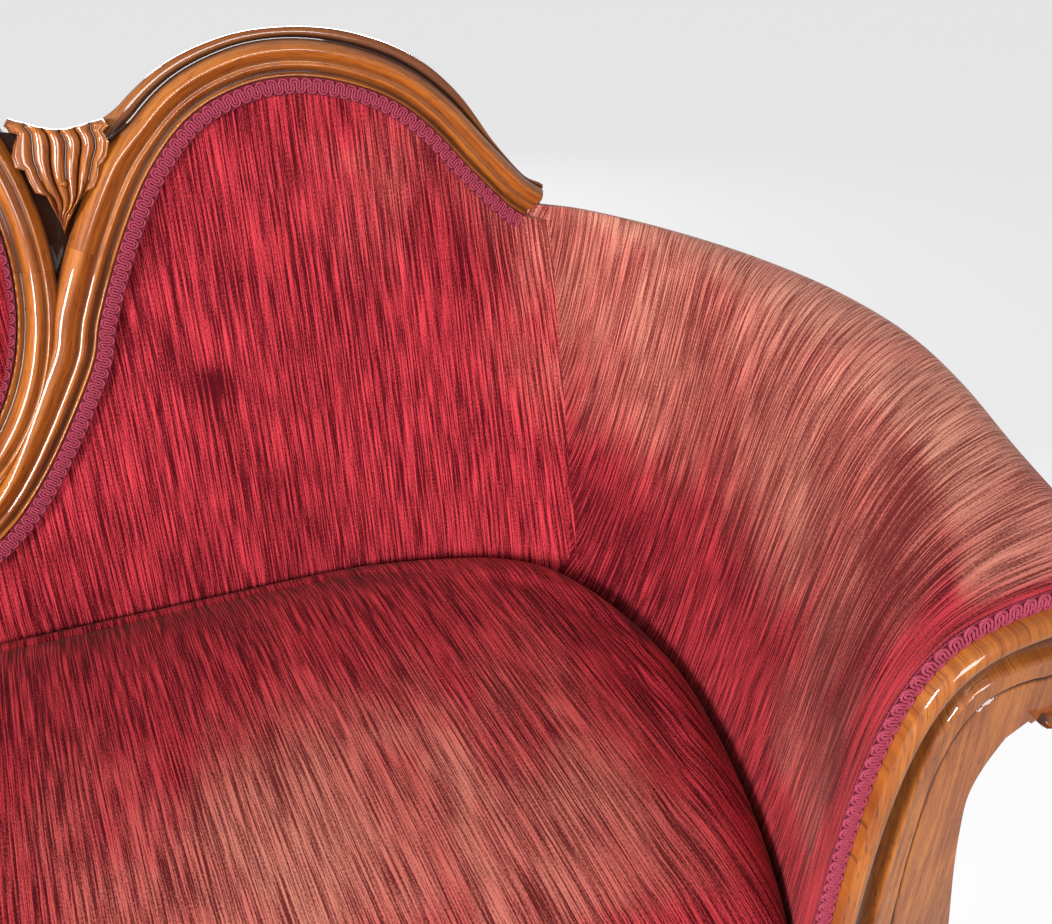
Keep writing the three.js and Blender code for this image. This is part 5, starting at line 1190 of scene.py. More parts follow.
def back_surface(columns, rows):
    """Right back panel: columns from the hump's edge down to the seat, in the leaning plane,
    drawn forward towards the arm in the measure of the seat's edge, with a low crown."""
    share = np.linspace(0, 1, columns)[:, None]
    up = np.linspace(0, 1, rows)[None, :]
    edge, away = side_of(hump, share[:, 0])
    away[0] = (0, 1)
    top = edge - away * CLEAR
    across = top[:, 0] / HUMP_REACH
    foot = top[:, 0] + 4 * across * (1 - across) * 0.085 * HUMP_REACH
    low, base = 1 / 9, CLOTH_TOP + 2 * CLEAR
    x = np.maximum(foot[:, None] + (top[:, 0] - foot)[:, None] * up, 0.0002)
    top_z = SEAT_LINE + top[:, 1][:, None] * math.cos(BACK_LEAN)
    z = np.where(up < low, base + (SEAT_LINE - base) * up / low,
                 SEAT_LINE + (top_z - SEAT_LINE) * (up - low) / (1 - low))
    level = np.maximum(z, SEAT_LINE)
    reach = seam(level)
    foot_line = gap(np.linspace(0, CORNER, 800))
    edge_y = np.interp(x * SEAM_FOOT[0] / reach[..., 0], foot_line[:, 0], foot_line[:, 1])
    forward = (lean_at(level) - reach[..., 1] + BACK_SHIFT) * edge_y / SEAM_FOOT[1]
    near = np.maximum(reach[..., 0] - x, 0)
    forward = forward * (1 - smooth_step(0.7, 1.0, up) * (1 - smooth_step(0.05, 0.0, near)))
    rise = np.clip((z - SEAT_LINE) / (top_z - SEAT_LINE), 0, 1)
    crown = 0.017 * np.sqrt(4 * rise * (1 - rise)) * np.minimum(
        1, (1 - share) / 0.2) * np.minimum(1, top[:, 1][:, None] / OVAL_WIDE)
    y = lean_at(level) - forward + BACK_SHIFT
    last = seam(level[-1:])
    x[-1], y[-1] = last[..., 0] - CLEAR, last[..., 1]
    return np.stack([x, y, z], -1), crown


def back_worn(x, z, near):
    """Where the back's pile is worn: a dusty band beside the arm's seam that dies out downwards,
    and a little under the top of the hump."""
    band = smooth_step(0.14, -0.05, near) * smooth_step(0.5, 0.72, z)
    return np.clip(0.55 * band + 0.3 * smooth_step(0.68, 0.86, z) * smooth_step(0.4, 0.6, x), 0, 1)


class SETTEE_OT_back_pads(bpy.types.Operator):
    """The two back panels, filled by cloth simulation, and the medallion's domed panel"""
    bl_idname = "settee.back_pads"
    bl_label = "Back panels"

    def execute(self, context):
        plain, crown = back_surface(77, 55)
        start = plain.copy()
        start[..., 1] -= crown * 0.8
        front = finer(billow(start, 2, 2.5, 0.008), 2)
        back = finer(plain, 2)
        back[..., 1] = np.maximum(back[..., 1] + 0.004,
                                  lean_at(back[..., 2]) + 0.012 + BACK_SHIFT)
        back[..., 0] = front[..., 0]
        x, z = front[..., 0], front[..., 2]
        # The lift mark: a dark spot in the panel, and painted shade towards the top beside the
        # medallion.
        dark = np.exp(-(((x - 0.355) / 0.02) ** 2 + ((z - 0.655) / 0.018) ** 2))
        lift = -0.8 * dark - 0.3 * smooth_step(0.38, 0.2, x) * smooth_step(0.6, 0.75, z)
        mark = np.stack([x, z, back_worn(x, z, np.maximum(x[-1:] - x, 0))], -1)
        body = shell(front, back, pile=mark, lift=lift[..., None])
        for pad in covered(context, "back_pad", body):
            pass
        self.medallion(context)
        return {"FINISHED"}

    def medallion(self, context):
        """Oval dome: rings at shares of the opening, whose height is the root of one less a power
        of the share."""
        r = np.linspace(0.02, 1, 30)[:, None]
        turn = np.linspace(0, 2 * np.pi, 97)[None, :]
        u = (OVAL_WIDE - 3 * CLEAR) * r * np.cos(turn)
        v = OVAL_RISE + (OVAL_HIGH - 3 * CLEAR) * r * np.sin(turn)
        w = 0.002 + 0.024 * np.sqrt(np.clip(1 - r ** 2.4, 0, 1))
        grid = finer(on_back(u, v, w), 2)[:, :-1]
        grid = np.concatenate([grid, grid[-1:] + back_way(0, 0, -0.014)])
        x, z = grid[..., 0], grid[..., 2]
        mark = np.stack([x, z, 0.12 * smooth_step(0.75, 0.9, z)], -1)
        pad = covered(context, "medallion_pad", tube(grid, pile=mark), make_piece)


class SETTEE_OT_arm_pads(bpy.types.Operator):
    """Padding of the rolled arms, and the covers under the rolls"""
    bl_idname = "settee.arm_pads"
    bl_label = "Arm padding"

    def execute(self, context):
        share, rise = np.meshgrid(np.linspace(0, 1, 110), np.linspace(0, 1, 90), indexing="ij")
        out, up = arm_profile(share, rise)
        front = arm_place(share, out, up)
        foot = front[:, :1].copy()
        foot[..., 2] = CLOTH_TOP + 2 * CLEAR
        front = np.concatenate([foot, (foot + front[:, :1]) / 2, front], 1)
        along_out = np.gradient(np.concatenate([out[:, :1], out[:, :1], out], 1), axis=1)
        along_up = np.gradient(front[..., 2], axis=1)
        wall = np.interp(share[:, :1], [0, 0.75, 1], [PAD_WALL, PAD_WALL, PAD_EDGE])
        wall = wall / np.maximum(np.hypot(along_out, along_up), 1e-9)
        _, direction, _, _ = arm_frame(share[:, 0])
        back = front.copy()
        back[..., :2] += direction[:, None] * (along_up * wall)[..., None]
        back[..., 2] -= along_out * wall
        back[:, 0, 2] = front[:, 0, 2]
        lead = np.linspace(1, 0, 7)[:-1, None, None] * [-0.017, 0.021, -0.002]
        front, back = (np.concatenate([grid[:1] + lead, grid]) for grid in (front, back))
        s = np.concatenate([np.zeros(6), share[:, 0]])[:, None]
        gone = np.stack([lengths(line) for line in front])
        along = lengths(front[:, 40])[:, None]
        worn, lift = self.wear(s, front[..., 2])
        mark = np.stack([0.82 * (along - spline(SLANT_TABLE, s[:, 0]) * gone), gone, worn], -1)
        body = shell(front, back, pile=mark, lift=lift[..., None])
        for pad in covered(context, "arm_pad", body):
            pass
        self.covers(context)
        return {"FINISHED"}

    def wear(self, s, z):
        """Where the arm's pile is worn, and its painted light and shade, by the share along the
        arm and the height: dusty on the upper inside and along the crest, fresh before the
        facing; painted lighter before the facing and along the crest, and painted darker low
        at the back and on the inside."""
        drop = z.max(axis=1, keepdims=True) - z
        fresh = smooth_step(0.85, 0.93, s)
        crest = smooth_step(0, 1, 1 - drop / (0.05 - 0.03 * smooth_step(0.6, 0.75, s)))
        worn = smooth_step(0.5, 0.72, z) * (1 - 0.45 * smooth_step(0.66, 0.8, s)) * 0.72
        worn = np.maximum(worn, 0.5 * smooth_step(0.25, 0.05, s) * smooth_step(0.56, 0.68, z))
        worn = np.maximum(worn, 0.3 * smooth_step(0.5, 0.7, s) * smooth_step(0.44, 0.5, z))
        worn = np.maximum(worn * (1 - fresh), crest * smooth_step(1.0, 0.93, s) * (
            0.4 + 0.6 * smooth_step(0, 0.1, s)))
        low = smooth_step(0.6, 0.48, z)
        inside = (1 - crest) * (1 - low)
        # Painted light and shade: lighter before the facing and along the crest, darker low towards
        # the back and on the inside of the arm.
        lift = (0.12 * fresh + 0.22 * crest * smooth_step(0.0, 0.15, s)
                + low * (0.2 * fresh + 0.06 * smooth_step(0.3, 0.6, s)
                         - 0.3 * smooth_step(0.3, 0.1, s))
                - inside * (0.12 * smooth_step(0.15, 0.3, s) * (1 - fresh)
                            + 0.25 * smooth_step(0.14, 0.05, np.abs(s - 0.8))))
        return worn, lift

    def covers(self, context):
        """Outside cover of each arm: from under the roll a quadratic curve bows in and meets the
        side rail's outer face, then drops to the rail's foot. Straight strips close it to the
        outside back and, over the leg, to the facing."""
        columns, rows = 70, 50
        share = np.linspace(0, 1, columns)
        _, direction, reach, _ = arm_frame(share)
        out, up = arm_profile(share, np.ones(columns))
        head = arm_place(share, out, up - 2 * CLEAR)
        guide = arm_place(share, reach * 0.42, up)
        rail, side = side_of(side_rail, 1 - share)
        base = rail - side * RAIL_SIDE + [0, BACK_SHIFT]
        limit = FACING_FRONT + FACING_THICK + CLEAR + BACK_SHIFT
        for line in (head, guide, base):
            line[:, 1] = np.maximum(line[:, 1], limit)
        turn = direction[0, 0] / direction[0, 1]
        base[0, 0] = max(base[0, 0], SEAM_FOOT[0] + 0.0028 + (
            base[0, 1] - BACK_SHIFT - SEAM_FOOT[1]) * turn)
        stop = np.concatenate([base, np.full((columns, 1), RAIL_TOP + CLEAR)], 1)[:, None]
        foot = np.concatenate([base, np.full((columns, 1), RAIL_FOOT)], 1)[:, None]
        b = np.linspace(0, 1, rows)[None, :, None]
        fall = np.linspace(0, 1, 12)[None, 1:, None]
        curve = np.concatenate([
            (1 - b) ** 2 * head[:, None] + 2 * b * (1 - b) * guide[:, None] + b ** 2 * stop,
            stop * (1 - fall) + foot * fall], 1)
        rear, ahead = curve[:1].copy(), curve[-1:].copy()
        rear[..., 0] = np.minimum(rear[..., 0], OUTSIDE_REACH - 0.0015)
        rear[..., 1] = lean_at(rear[..., 2]) + 0.0398 / math.cos(BACK_LEAN) + BACK_SHIFT
        ahead[..., 1] = limit
        ahead[..., 2] = np.maximum(ahead[..., 2], RAIL_TOP + CLEAR + 0.01 * (
            ahead[..., 2] - RAIL_FOOT) / (RAIL_TOP - RAIL_FOOT))
        away = np.linspace(1, 0, 5)[:-1, None, None]
        curve = np.concatenate([curve[:1] + (rear - curve[:1]) * away, curve,
                                curve[-1:] + (ahead - curve[-1:]) * away[::-1]])
        direction = np.concatenate([np.full((4, 2), [1.0, 0]), direction,
                                    np.repeat(direction[-1:], 4, 0)])
        outer = curve.copy()
        outer[..., :2] += direction[:, None] * 0.0025
        body = shell(outer, curve, pile=layers(curve[..., 1], curve[..., 2], 0.1))
        for cover, side in zip(covered(context, "outside_arm_cover", body), ("right", "left")):
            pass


class SETTEE_OT_seat(bpy.types.Operator):
    """Sprung seat with its bowed front, filled by cloth simulation"""
    bl_idname = "settee.seat"
    bl_label = "Seat"

    def execute(self, context):
        top = self.surface(121, 61)
        lower = top.copy()
        lower[..., 2] -= 0.006 * np.sin(np.pi * np.linspace(0, 1, top.shape[1]))
        front = finer(billow(lower, 1, 1.2, 0.009), 2)
        x, y, z = front[..., 0], front[..., 1], front[..., 2]
        wide = np.abs(x)
        over_apron = y - (front_line(x) + BACK_SHIFT) < 0.032
        under = front.copy()
        under[..., 2] = np.minimum(np.where(over_apron, RAIL_TOP, CLOTH_TOP) + CLEAR, z - 0.0005)
        broad = np.exp(-(((wide - 0.42) / 0.26) ** 2 + ((y + 0.17) / 0.17) ** 2))
        worn = 0.03 + 0.56 * broad + 0.08 * smooth_step(0.05, -0.4, y)
        worn = worn * smooth_step(0.72, 0.6, wide) * (
            1 - 0.8 * smooth_step(0.4, 0.5, wide) * smooth_step(-0.26, -0.31, y))
        body = shell(front, under, pile=np.stack([x + 0.12 * y, y, np.clip(worn, 0, 1)], -1),
                     lift=0.2 * broad[..., None])
        covered(context, "seat_pad", body, make_piece)
        return {"FINISHED"}

    def surface(self, columns, rows):
        """Seat's top: a patch between the back edge, the arms' edges and the bowed front, with a
        crown that falls steeply at all sides, and its front wall."""
        split = time_at(gap, 0, SEAM_FOOT[0] - 0.175 * SEAT_DEPTH / 2, 0, CORNER)
        lean = np.linspace(-1, 1, columns)[:, None]
        across = lean * 0.5 + np.sin(lean * np.pi / 2) * 0.5
        ease = np.linspace(0, 1, rows)[None, :]
        up = ease * 0.55 + (1 - np.cos(ease * np.pi)) / 2 * 0.45
        side = np.abs(across)
        flat = up[..., None] * gap(split * side) + side[..., None] * (
            gap(1 + (split - 1) * up) - up[..., None] * gap(np.array([split])))
        y = flat[..., 1] + (1 - up) * (front_line(FRONT_REACH * side) + side * SEAT_DEPTH)
        drop = (1 - up) ** 6
        edge = np.sqrt(np.clip((1 - side ** 6) * (1 - up ** 9) * (1 - drop), 0, 1))
        inset = 0.0035
        top = layers(np.sign(across) * flat[..., 0] * (1 - inset / ARM_REACH),
                     y * (1 - inset / SEAT_DEPTH) - inset + BACK_SHIFT,
                     SEAT_LINE - 0.010 - drop * 0.017 + 0.062 * edge)
        wall = np.linspace(0, 1, 7)[:-1]
        low = top[:, :1].copy()
        low[..., 2] = RAIL_TOP + CLEAR
        front = low + (top[:, :1] - low) * wall[None, :, None]
        front[..., 1] -= 0.004 * np.sin(np.pi * wall)
        return np.concatenate([front, top], 1)


class SETTEE_OT_outside_back(bpy.types.Operator):
    """One cover over the whole outside of the back"""
    bl_idname = "settee.outside_back"
    bl_label = "Outside back"

    def execute(self, context):
        x = np.linspace(-OUTSIDE_REACH, OUTSIDE_REACH, 240)[:, None]
        up = np.linspace(0, 1, 70)[None, :]
        place, side = side_of(hump, np.linspace(0, 1, 3000))
        crest = self.upper(place + side * (MOULDING_WIDTH + 0.002), np.abs(x))
        share = x / (RING_REACH - 0.003)
        ring = OVAL_RISE + (OVAL_HIGH + RING_WIDTH - 0.003) * np.sqrt(np.clip(
            1 - share ** 2, 0, 1))
        top = np.maximum(crest, np.where(np.abs(share) < 1, ring, 0))
        foot = (RAIL_FOOT + 0.001 - SEAT_LINE) / math.cos(BACK_LEAN) + 0.0086
        v = foot + (top - foot) * up
        puff = 0.002 * np.sin(np.pi * up) * np.cos(np.pi * x / 1.6)
        outer = on_back(x, v, -BACK_RAIL - 0.0028 - puff)
        body = shell(outer, on_back(x, v, -BACK_RAIL - CLEAR), pile=layers(x, v, 0.08))
        cover = covered(context, "outside_back_cover", body, make_piece)
        return {"FINISHED"}

    def upper(self, line, x):
        """Height of a line's highest points over places across, from 400 columns."""
        reach, count = 0.73, 400
        column = np.clip((line[:, 0] / reach * (count - 1)).astype(int), 0, count - 1)
        high = np.full(count, -1.0)
        np.maximum.at(high, column, line[:, 1])
        known = np.flatnonzero(high > -1)
        high = np.interp(np.arange(count), known, high[known])
        return np.interp(x, np.linspace(0, reach, count), high)


# Braid.

def cord(path, lift, radius, sides):
    """A round cord: at each point of its path a ring of the cord's radius, in the plane of the
    lift and of the side square to it and to the path."""
    along = unit(np.gradient(path, axis=0))
    side = unit(np.cross(along, lift))
    lift = unit(np.cross(side, along))
    turn = np.linspace(0, 2 * np.pi, sides + 1)[None, :-1]
    ring = (np.cos(turn)[..., None] * side[:, None] + np.sin(turn)[..., None]
            * lift[:, None]) * radius
    return tube(path[:, None] + ring, cord=layers(lengths(path)[:, None], turn, 0.0))


def gathered(parts):
    """Several bodies as one: points, faces and marks one after another."""
    points, faces, marks = zip(*parts)
    starts = np.cumsum([0] + [len(part) for part in points])
    return (np.concatenate(points),
            [np.concatenate([face + start for face, start in zip(kind, starts)])
             for kind in zip(*faces)],
            {label: np.concatenate([part[label] for part in marks]) for label in marks[0]})


def braid(line, across, lift, settings):
    """Scroll braid along a line: two cords side by side follow one swinging path over a thin
    ground. Its place across is a sine; its place along leads and lags at twice the rate, so that
    the legs stand square to the braid between round ends. A finely waved picot cord runs along
    each edge."""
    gone = lengths(line)
    loops = max(1, round(gone[-1] / settings.loop_pitch))
    pitch = gone[-1] / loops
    t = np.linspace(0, loops, loops * 20 + 1)
    phase = 2 * np.pi * t
    ahead = t * pitch - 0.115 * pitch * np.sin(2 * phase)
    flat = np.stack([ahead, 0.33 * TRIM_WIDE * np.sin(phase)], -1)
    along = unit(np.gradient(flat, axis=0))
    left = np.stack([-along[:, 1], along[:, 0]], -1)
    high = settings.cord_radius * 1.2 + 0.0003 * np.cos(2 * phase)

    def place(flat_line, height):
        """A flat path laid on the line at its heights, and the direction out of it."""
        s = np.clip(flat_line[:, 0], 0, gone[-1])
        base, over, up = (np.stack([np.interp(s, gone, part[:, k]) for k in range(3)], -1)
                          for part in (line, across, lift))
        return base + unit(over) * flat_line[:, 1:2] + unit(up) * height[:, None], unit(up)

    parts = []
    for offset in (-1, 1):
        laid = place(flat + left * offset * settings.cord_radius * 1.12, high)
        parts.append(cord(*laid, settings.cord_radius, 6))
    s = np.linspace(0, gone[-1], loops * 10 + 1)
    for edge in (-0.5, 0.5):
        wave = edge * (TRIM_WIDE - 0.0014) + 0.0004 * np.sin(s / 0.0026 * 2 * np.pi)
        laid = place(np.stack([s, wave], -1), np.full(len(s), 0.0006))
        parts.append(cord(*laid, 0.0006, 4))
    return gathered(parts)


def ribbon(line, across, lift, width, thickness):
    """A thin rectangular strip along a line."""
    over, up = unit(across), unit(lift)
    corners = [(-0.5, 0), (0.5, 0), (0.5, 1), (-0.5, 1)]
    grid = np.stack([line + over * a * width + up * b * thickness for a, b in corners], 1)
    return tube(grid, cord=layers(lengths(line)[:, None], np.arange(4.0), 0.0))


class SETTEE_OT_braid(bpy.types.Operator):
    """Scroll braid along the humps, the medallion, the arm facings and the seat's front"""
    bl_idname = "settee.braid"
    bl_label = "Braid"

    def execute(self, context):
        self.cloth = context.scene.settee_cloth
        shade = tuple(self.cloth.braid_shade)
        self.cord = finish("Braid cord", braid_material, "Braid cord", self.cloth.braid, shade)
        self.ground = finish("Braid ground", braid_material, "Braid ground", shade,
                             (0.05, 0.004, 0.01))
        self.humps()
        self.medallion()
        self.facings()
        self.seat()
        return {"FINISHED"}

    def lay(self, name, line, across, lift, build):
        """Makes the cords and their ground along one line."""
        across, lift = (np.broadcast_to(way, line.shape) for way in (across, lift))
        build(name, braid(line, across, lift, self.cloth), self.cord, "gimp", sharp=0)
        ground = ribbon(line, across, lift, TRIM_WIDE - 0.001, 0.0008)
        build(name + "_ground", ground, self.ground, "gimp", added=True)

    def lay_on_back(self, name, edge, side, build):
        """Lays a braid inside an edge of the back frame."""
        middle = edge - side * (TRIM_WIDE / 2 + CLEAR)
        if build is make_pair:
            middle[:, 0] = np.maximum(middle[:, 0], CLEAR)
        self.lay(name, on_back(middle[:, 0], middle[:, 1], 0.005),
                 back_way(side[:, 0], side[:, 1], 0), back_way(0, 0, 1), build)

    def humps(self):
        """Braid inside the moulding of each hump."""
        place, side = side_of(hump, even_times(hump, 0, 1, 500))
        side[0] = (0, 1)
        self.lay_on_back("hump_gimp", place, side, make_pair)

    def medallion(self):
        """Braid inside the medallion ring."""
        angle = np.linspace(-np.pi / 2 + 0.001, 1.5 * np.pi - 0.001, 500)
        side = unit(np.stack([np.cos(angle) / OVAL_WIDE, np.sin(angle) / OVAL_HIGH], -1))
        self.lay_on_back("medallion_gimp", oval(angle), side, make_piece)

    def facings(self):
        """Braid on the padding's front end, along the facing's inner edge and round the
        scroll."""
        _, line, inward, head = arm_end()
        turn = np.linspace(np.pi / 2, 0, 120)[1:]
        arc = head + (ROLL_RADIUS - PAD_EDGE / 2) * layers(np.cos(turn), np.sin(turn))
        flat = resample(np.concatenate([line + inward * PAD_EDGE / 2, arc]),
                        np.linspace(0, 1, 500))
        along = unit(np.gradient(flat, axis=0))
        self.lay("facing_gimp", upright(flat, -SEAT_DEPTH - 2 * CLEAR),
                 layers(along[:, 1], 0, -along[:, 0]), (0, -1.0, 0), make_pair)

    def seat(self):
        """Braid along the foot of the seat's front."""
        half = FRONT_REACH - TRIM_WIDE
        x = np.linspace(-half, half, 500)
        line = layers(x, front_line(x) - 0.0022 + BACK_SHIFT, RAIL_TOP + CLEAR + TRIM_WIDE / 2)
        along = unit(np.gradient(line, axis=0))
        self.lay("seat_gimp", line, (0, 0, 1.0), layers(along[:, 1], -along[:, 0], 0), make_piece)


# Inside and underneath.

INNER_WOOD = ["centre_upright", "back_seat_rail", "front_seat_rail"] + [
    part + side for side in ("_right", "_left")
    for part in ("hump_upright", "side_seat_rail", "front_corner_block", "rear_corner_block",
                 "arm_rail", "arm_stump")]


def plan_grid(half, setback, back, columns=61, rows=31):
    """Plan of a layer under the seat: across from one edge to the other at half the width that
    a line of edge points gives for the depth, from the bowed front's setback to a straight
    back. Gives x, y and the two shares."""
    across, up = np.meshgrid(np.linspace(-1, 1, columns), np.linspace(0, 1, rows), indexing="ij")
    y = (front_line(across * FRONT_REACH) + setback) * (1 - up) + back * up
    order = np.argsort(half[:, 1])
    x = across * np.interp(y, half[order, 1], half[order, 0])
    return x, y + BACK_SHIFT, across, up


class SETTEE_OT_inside(bpy.types.Operator):
    """Deck, webbing and dust cover, and the finishes of the hidden frame and springs"""
    bl_idname = "settee.inside"
    bl_label = "Inside"

    def execute(self, context):
        beech = plain_material("Sawn beech", (0.5, 0.33, 0.18), (0.36, 0.21, 0.1),
                               (40, 40, 6), 0.7, 0.0004)
        jute = plain_material("Woven jute", (0.36, 0.25, 0.13), (0.2, 0.13, 0.06),
                              (700, 700, 700), 0.9, 0.0006)
        steel = plain_material("Spring wire", (0.35, 0.34, 0.33), (0.18, 0.12, 0.09),
                               (60, 60, 60), 0.45, 0.0001, 0.9)
        cambric = plain_material("Black cambric", (0.018, 0.016, 0.015), (0.035, 0.03, 0.028),
                                 (900, 900, 900), 0.95, 0.0003)
        springs = [f"seat_spring_{i}" for i in range(1, 9)]
        for names, material in ((INNER_WOOD, beech), (springs, steel)):
            for name in names:
                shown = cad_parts[name]
                shown.data.materials.clear()
                shown.data.materials.append(material)
        self.deck(jute)
        self.webbing(jute)
        self.dust_cover(cambric)
        return {"FINISHED"}

    def deck(self, jute):
        """First stuffing over the springs: a flat pad that sinks between its edges as a product
        of two half sines and keeps a soft, rounded rim."""
        place, side = side_of(gap, np.linspace(0.3, 1, 200))
        x, y, across, up = plan_grid(place + side * 0.045, 0.049, -0.003)
        hollow = np.sin(np.pi * up) * np.cos(np.pi * across / 2)
        rim = np.clip((1 - across ** 20) * (1 - (2 * up - 1) ** 20), 0, 1) ** 0.5
        top = layers(x, y, RAIL_TOP + 0.008 + 0.0085 * rim - 0.003 * hollow)
        body = shell(top, layers(x, y, RAIL_TOP + 0.0004))
        make_piece("seat_deck", body, jute, "jute")

    def webbing(self, jute):
        """Five straps from front to back and three from side to side, which pass over and under
        each other in cosine waves."""
        rail = side_rail(np.linspace(1, 0, 200))
        middles = np.linspace(-0.593, 0.593, 5)
        depths = -SEAT_DEPTH * np.linspace(0.25, 0.75, 3)
        parts = []
        for i, x in enumerate(middles):
            y = np.linspace(front_line(x) + 0.032, -0.006, 81)
            parts.append(self.strap(x, y, np.interp(y, depths[::-1], [0, 1, 2]) + i, (1.0, 0, 0)))
        for j, y in enumerate(depths):
            half = np.interp(-y, -rail[:, 1], rail[:, 0])
            x = np.linspace(-half, half, 161)
            parts.append(self.strap(x, y, np.interp(x, middles, range(5)) + 1 - j, (0, 1.0, 0)))
        make_piece("seat_webbing", gathered(parts), jute, "jute")

    def strap(self, x, y, phase, across):
        """One strap 50 mm wide, whose height is a cosine of pi times the phase."""
        line = layers(x, y + BACK_SHIFT, RAIL_FOOT - 0.0017 + 0.0006 * np.cos(np.pi * phase))
        across, lift = (np.broadcast_to(way, line.shape) for way in (across, (0, 0, 1.0)))
        return ribbon(line, across, lift, 0.05, 0.0008)

    def dust_cover(self, cambric):
        """Black cloth tacked under the rails: a sheet that sags between them as a half sine each
        way and steps in behind the front legs."""
        rail = side_rail(np.linspace(0, 1, 200))
        behind = FACING_FRONT + 2 * LEG_DEEP + 0.003
        edge = rail[(rail[:, 1] > behind + 0.012) & (rail[:, 1] < -0.02)]
        half = np.concatenate([[[0.689, -0.7], [0.689, behind]], edge,
                               [[0.665, -0.004], [0.652, 0.01]]])
        x, y, across, up = plan_grid(half, 0.022, -0.0152, 91, 61)
        sag = 0.004 * np.sin(np.pi * up) * (1 - across ** 4)
        top = np.stack([x, y, RAIL_FOOT - 0.0026 - sag], -1)
        cover = make_piece("dust_cover", shell(top, top - [0, 0, 0.0008]), cambric, "dust_cloth")


# Stage.

def seen_share(tree, at):
    """One for the camera's own rays and 0.2 for reflections."""
    path = node(tree, "ShaderNodeLightPath", at).outputs
    return maths(tree, (at[0] + 200, at[1]), "MULTIPLY_ADD", path["Is Glossy Ray"], 0.2,
                 path["Is Camera Ray"], clamp=True)


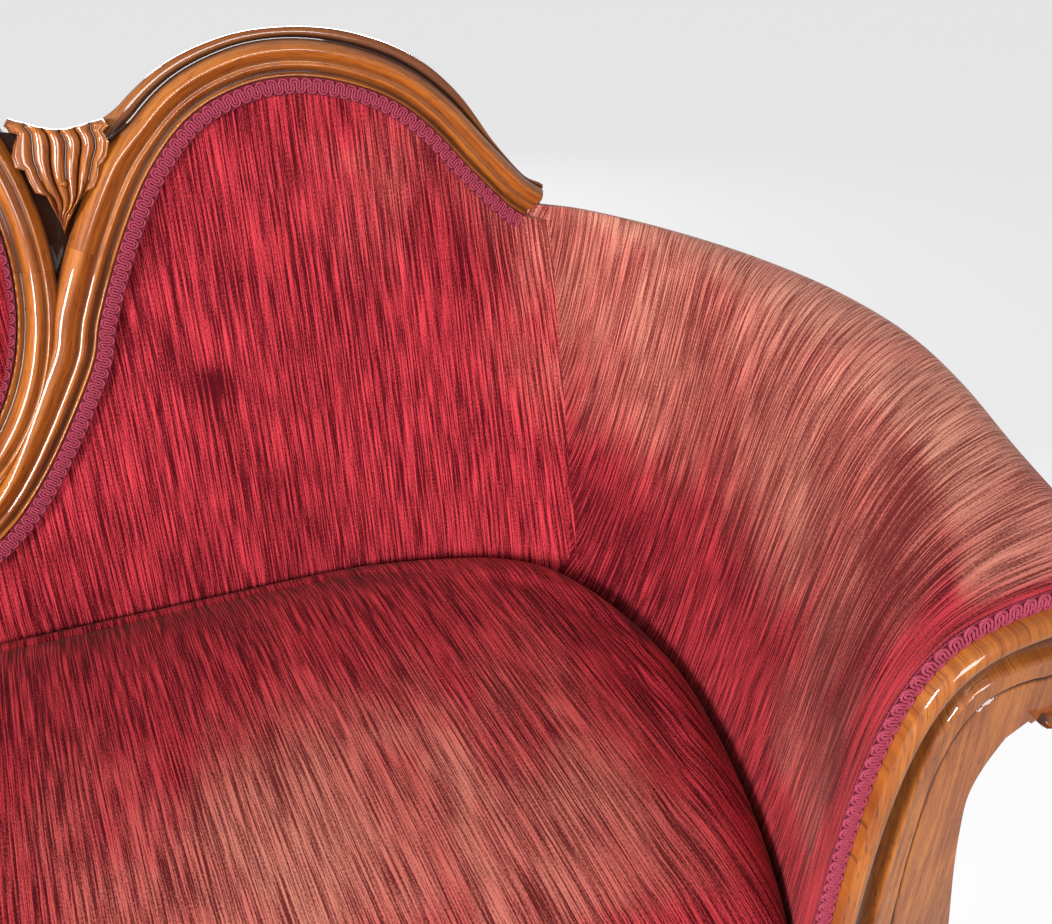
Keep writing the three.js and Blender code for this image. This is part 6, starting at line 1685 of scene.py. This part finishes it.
class SETTEE_OT_stage(bpy.types.Operator):
    """Plain pale floor, soft studio light and the camera"""
    bl_idname = "settee.stage"
    bl_label = "Stage"

    def execute(self, context):
        settings = context.scene.settee_stage
        scene = context.scene
        scene.view_settings.view_transform = "Standard"
        self.floor(settings)
        world = bpy.data.worlds.new("Studio")
        scene.world = world
        world.use_nodes = True
        tree = world.node_tree
        seen = seen_share(tree, (-600, 0))
        fill(tree, tree.nodes["Background"], {
            "Color": (1, 1, 1, 1),
            "Strength": mapped(tree, (-200, 0), seen, 0, 1, settings.sky, 0.8)})
        self.lamp("Key", (0.35, -3.2, 1.95), (0.4, 0.1, 0.7), 1.6, 1.2, 88)
        self.lamp("Side", (-3.0, -1.7, 1.5), (0.4, 0.0, 0.6), 0.8, 1.2, 170)
        self.lamp("Back", (0.8, 3.4, 1.6), (0.0, 0.2, 0.6), 2.0, 1.4, 80)
        camera = bpy.data.objects.new("Camera", bpy.data.cameras.new("Camera"))
        scene.collection.objects.link(camera)
        camera.location = (settings.eye[0], settings.eye[1] + BACK_SHIFT, settings.eye[2])
        camera.rotation_euler = (math.pi / 2 - settings.dip, 0, -settings.turn)
        camera.data.lens = settings.lens
        camera.data.sensor_width = 36
        camera.data.sensor_fit = "HORIZONTAL"
        scene.camera = camera
        return {"FINISHED"}

    def floor(self, settings):
        """Wide floor whose colour turns white towards the viewer."""
        size = 30.0
        mesh = bpy.data.meshes.new("floor")
        mesh.from_pydata([(-size, -size, 0), (size, -size, 0), (size, size, 0), (-size, size, 0)],
                         [], [(0, 1, 2, 3)])
        ground = bpy.data.objects.new("floor", mesh)
        bpy.context.scene.collection.objects.link(ground)
        made, tree, shader = start_material("Pale floor")
        tree.nodes.remove(shader)
        place = node(tree, "ShaderNodeTexCoord", (-900, 0)).outputs["Object"]
        place = node(tree, "ShaderNodeSeparateXYZ", (-700, 0), {0: place}).outputs
        near = mapped(tree, (-500, 0), place[1], 0.75, 0.15)
        colour = blend(tree, (-300, 0), near, settings.floor, (1.0, 1.0, 1.0))
        grey = node(tree, "ShaderNodeBsdfDiffuse", (-100, 300), {"Color": (0.35, 0.35, 0.35, 1)})
        lit = node(tree, "ShaderNodeBsdfDiffuse", (-100, 100), {"Color": colour})
        shine = node(tree, "ShaderNodeEmission", (-100, -100), {"Color": colour})
        direct = node(tree, "ShaderNodeMixShader", (100, 0),
                      {0: 0.86, 1: lit.outputs[0], 2: shine.outputs[0]})
        both = node(tree, "ShaderNodeMixShader", (300, 0), {
            0: seen_share(tree, (-300, 300)), 1: grey.outputs[0], 2: direct.outputs[0]})
        fill(tree, tree.nodes["Material Output"], {"Surface": both.outputs[0]})
        mesh.materials.append(made)

    def lamp(self, name, place, aim, width, depth, power):
        """Rectangular soft lamp that looks at a point."""
        data = bpy.data.lights.new(name, "AREA")
        data.shape = "RECTANGLE"
        data.size, data.size_y = width, depth
        data.energy = power
        lamp = bpy.data.objects.new(name, data)
        bpy.context.scene.collection.objects.link(lamp)
        lamp.location = place
        line = np.array(aim, float) - np.array(place, float)
        yaw = math.atan2(line[1], line[0]) - math.pi / 2
        pitch = math.atan2(line[2], math.hypot(line[0], line[1]))
        lamp.rotation_euler = (math.pi / 2 + pitch, 0, yaw)


class SETTEE_PT_panel(bpy.types.Panel):
    """Lists the settee's settings and the steps that build it"""
    bl_idname = "SETTEE_PT_panel"
    bl_label = "Settee"
    bl_space_type = "VIEW_3D"
    bl_region_type = "UI"
    bl_category = "Settee"

    def draw(self, context):
        """Shows the settings in boxes, and a button for each step."""
        for settings in (context.scene.settee_wood, context.scene.settee_cloth,
                         context.scene.settee_stage):
            box = self.layout.box()
            for label in settings.__annotations__:
                box.prop(settings, label)
        for operator in OPERATORS:
            self.layout.operator(operator.bl_idname)


OPERATORS = (SETTEE_OT_back_frame, SETTEE_OT_arm_facings, SETTEE_OT_carvings, SETTEE_OT_base,
             SETTEE_OT_back_pads, SETTEE_OT_arm_pads, SETTEE_OT_seat, SETTEE_OT_outside_back,
             SETTEE_OT_braid, SETTEE_OT_inside, SETTEE_OT_stage)
CLASSES = (WoodSettings, ClothSettings, StageSettings) + OPERATORS + (SETTEE_PT_panel,)


def register():
    """Registers the classes and hangs the settings on the scene."""
    for cls in CLASSES:
        bpy.utils.register_class(cls)
    bpy.types.Scene.settee_wood = bpy.props.PointerProperty(type=WoodSettings)
    bpy.types.Scene.settee_cloth = bpy.props.PointerProperty(type=ClothSettings)
    bpy.types.Scene.settee_stage = bpy.props.PointerProperty(type=StageSettings)


def unregister():
    """Takes the settings and the classes away again."""
    del bpy.types.Scene.settee_wood
    del bpy.types.Scene.settee_cloth
    del bpy.types.Scene.settee_stage
    for cls in reversed(CLASSES):
        bpy.utils.unregister_class(cls)


def main():
    """Builds every piece in order."""
    register()
    for operator in OPERATORS:
        group, name = operator.bl_idname.split(".")
        if getattr(getattr(bpy.ops, group), name)() != {"FINISHED"}:
            raise RuntimeError(f"{operator.bl_label} was not built")


if __name__ == "__main__":
    main()
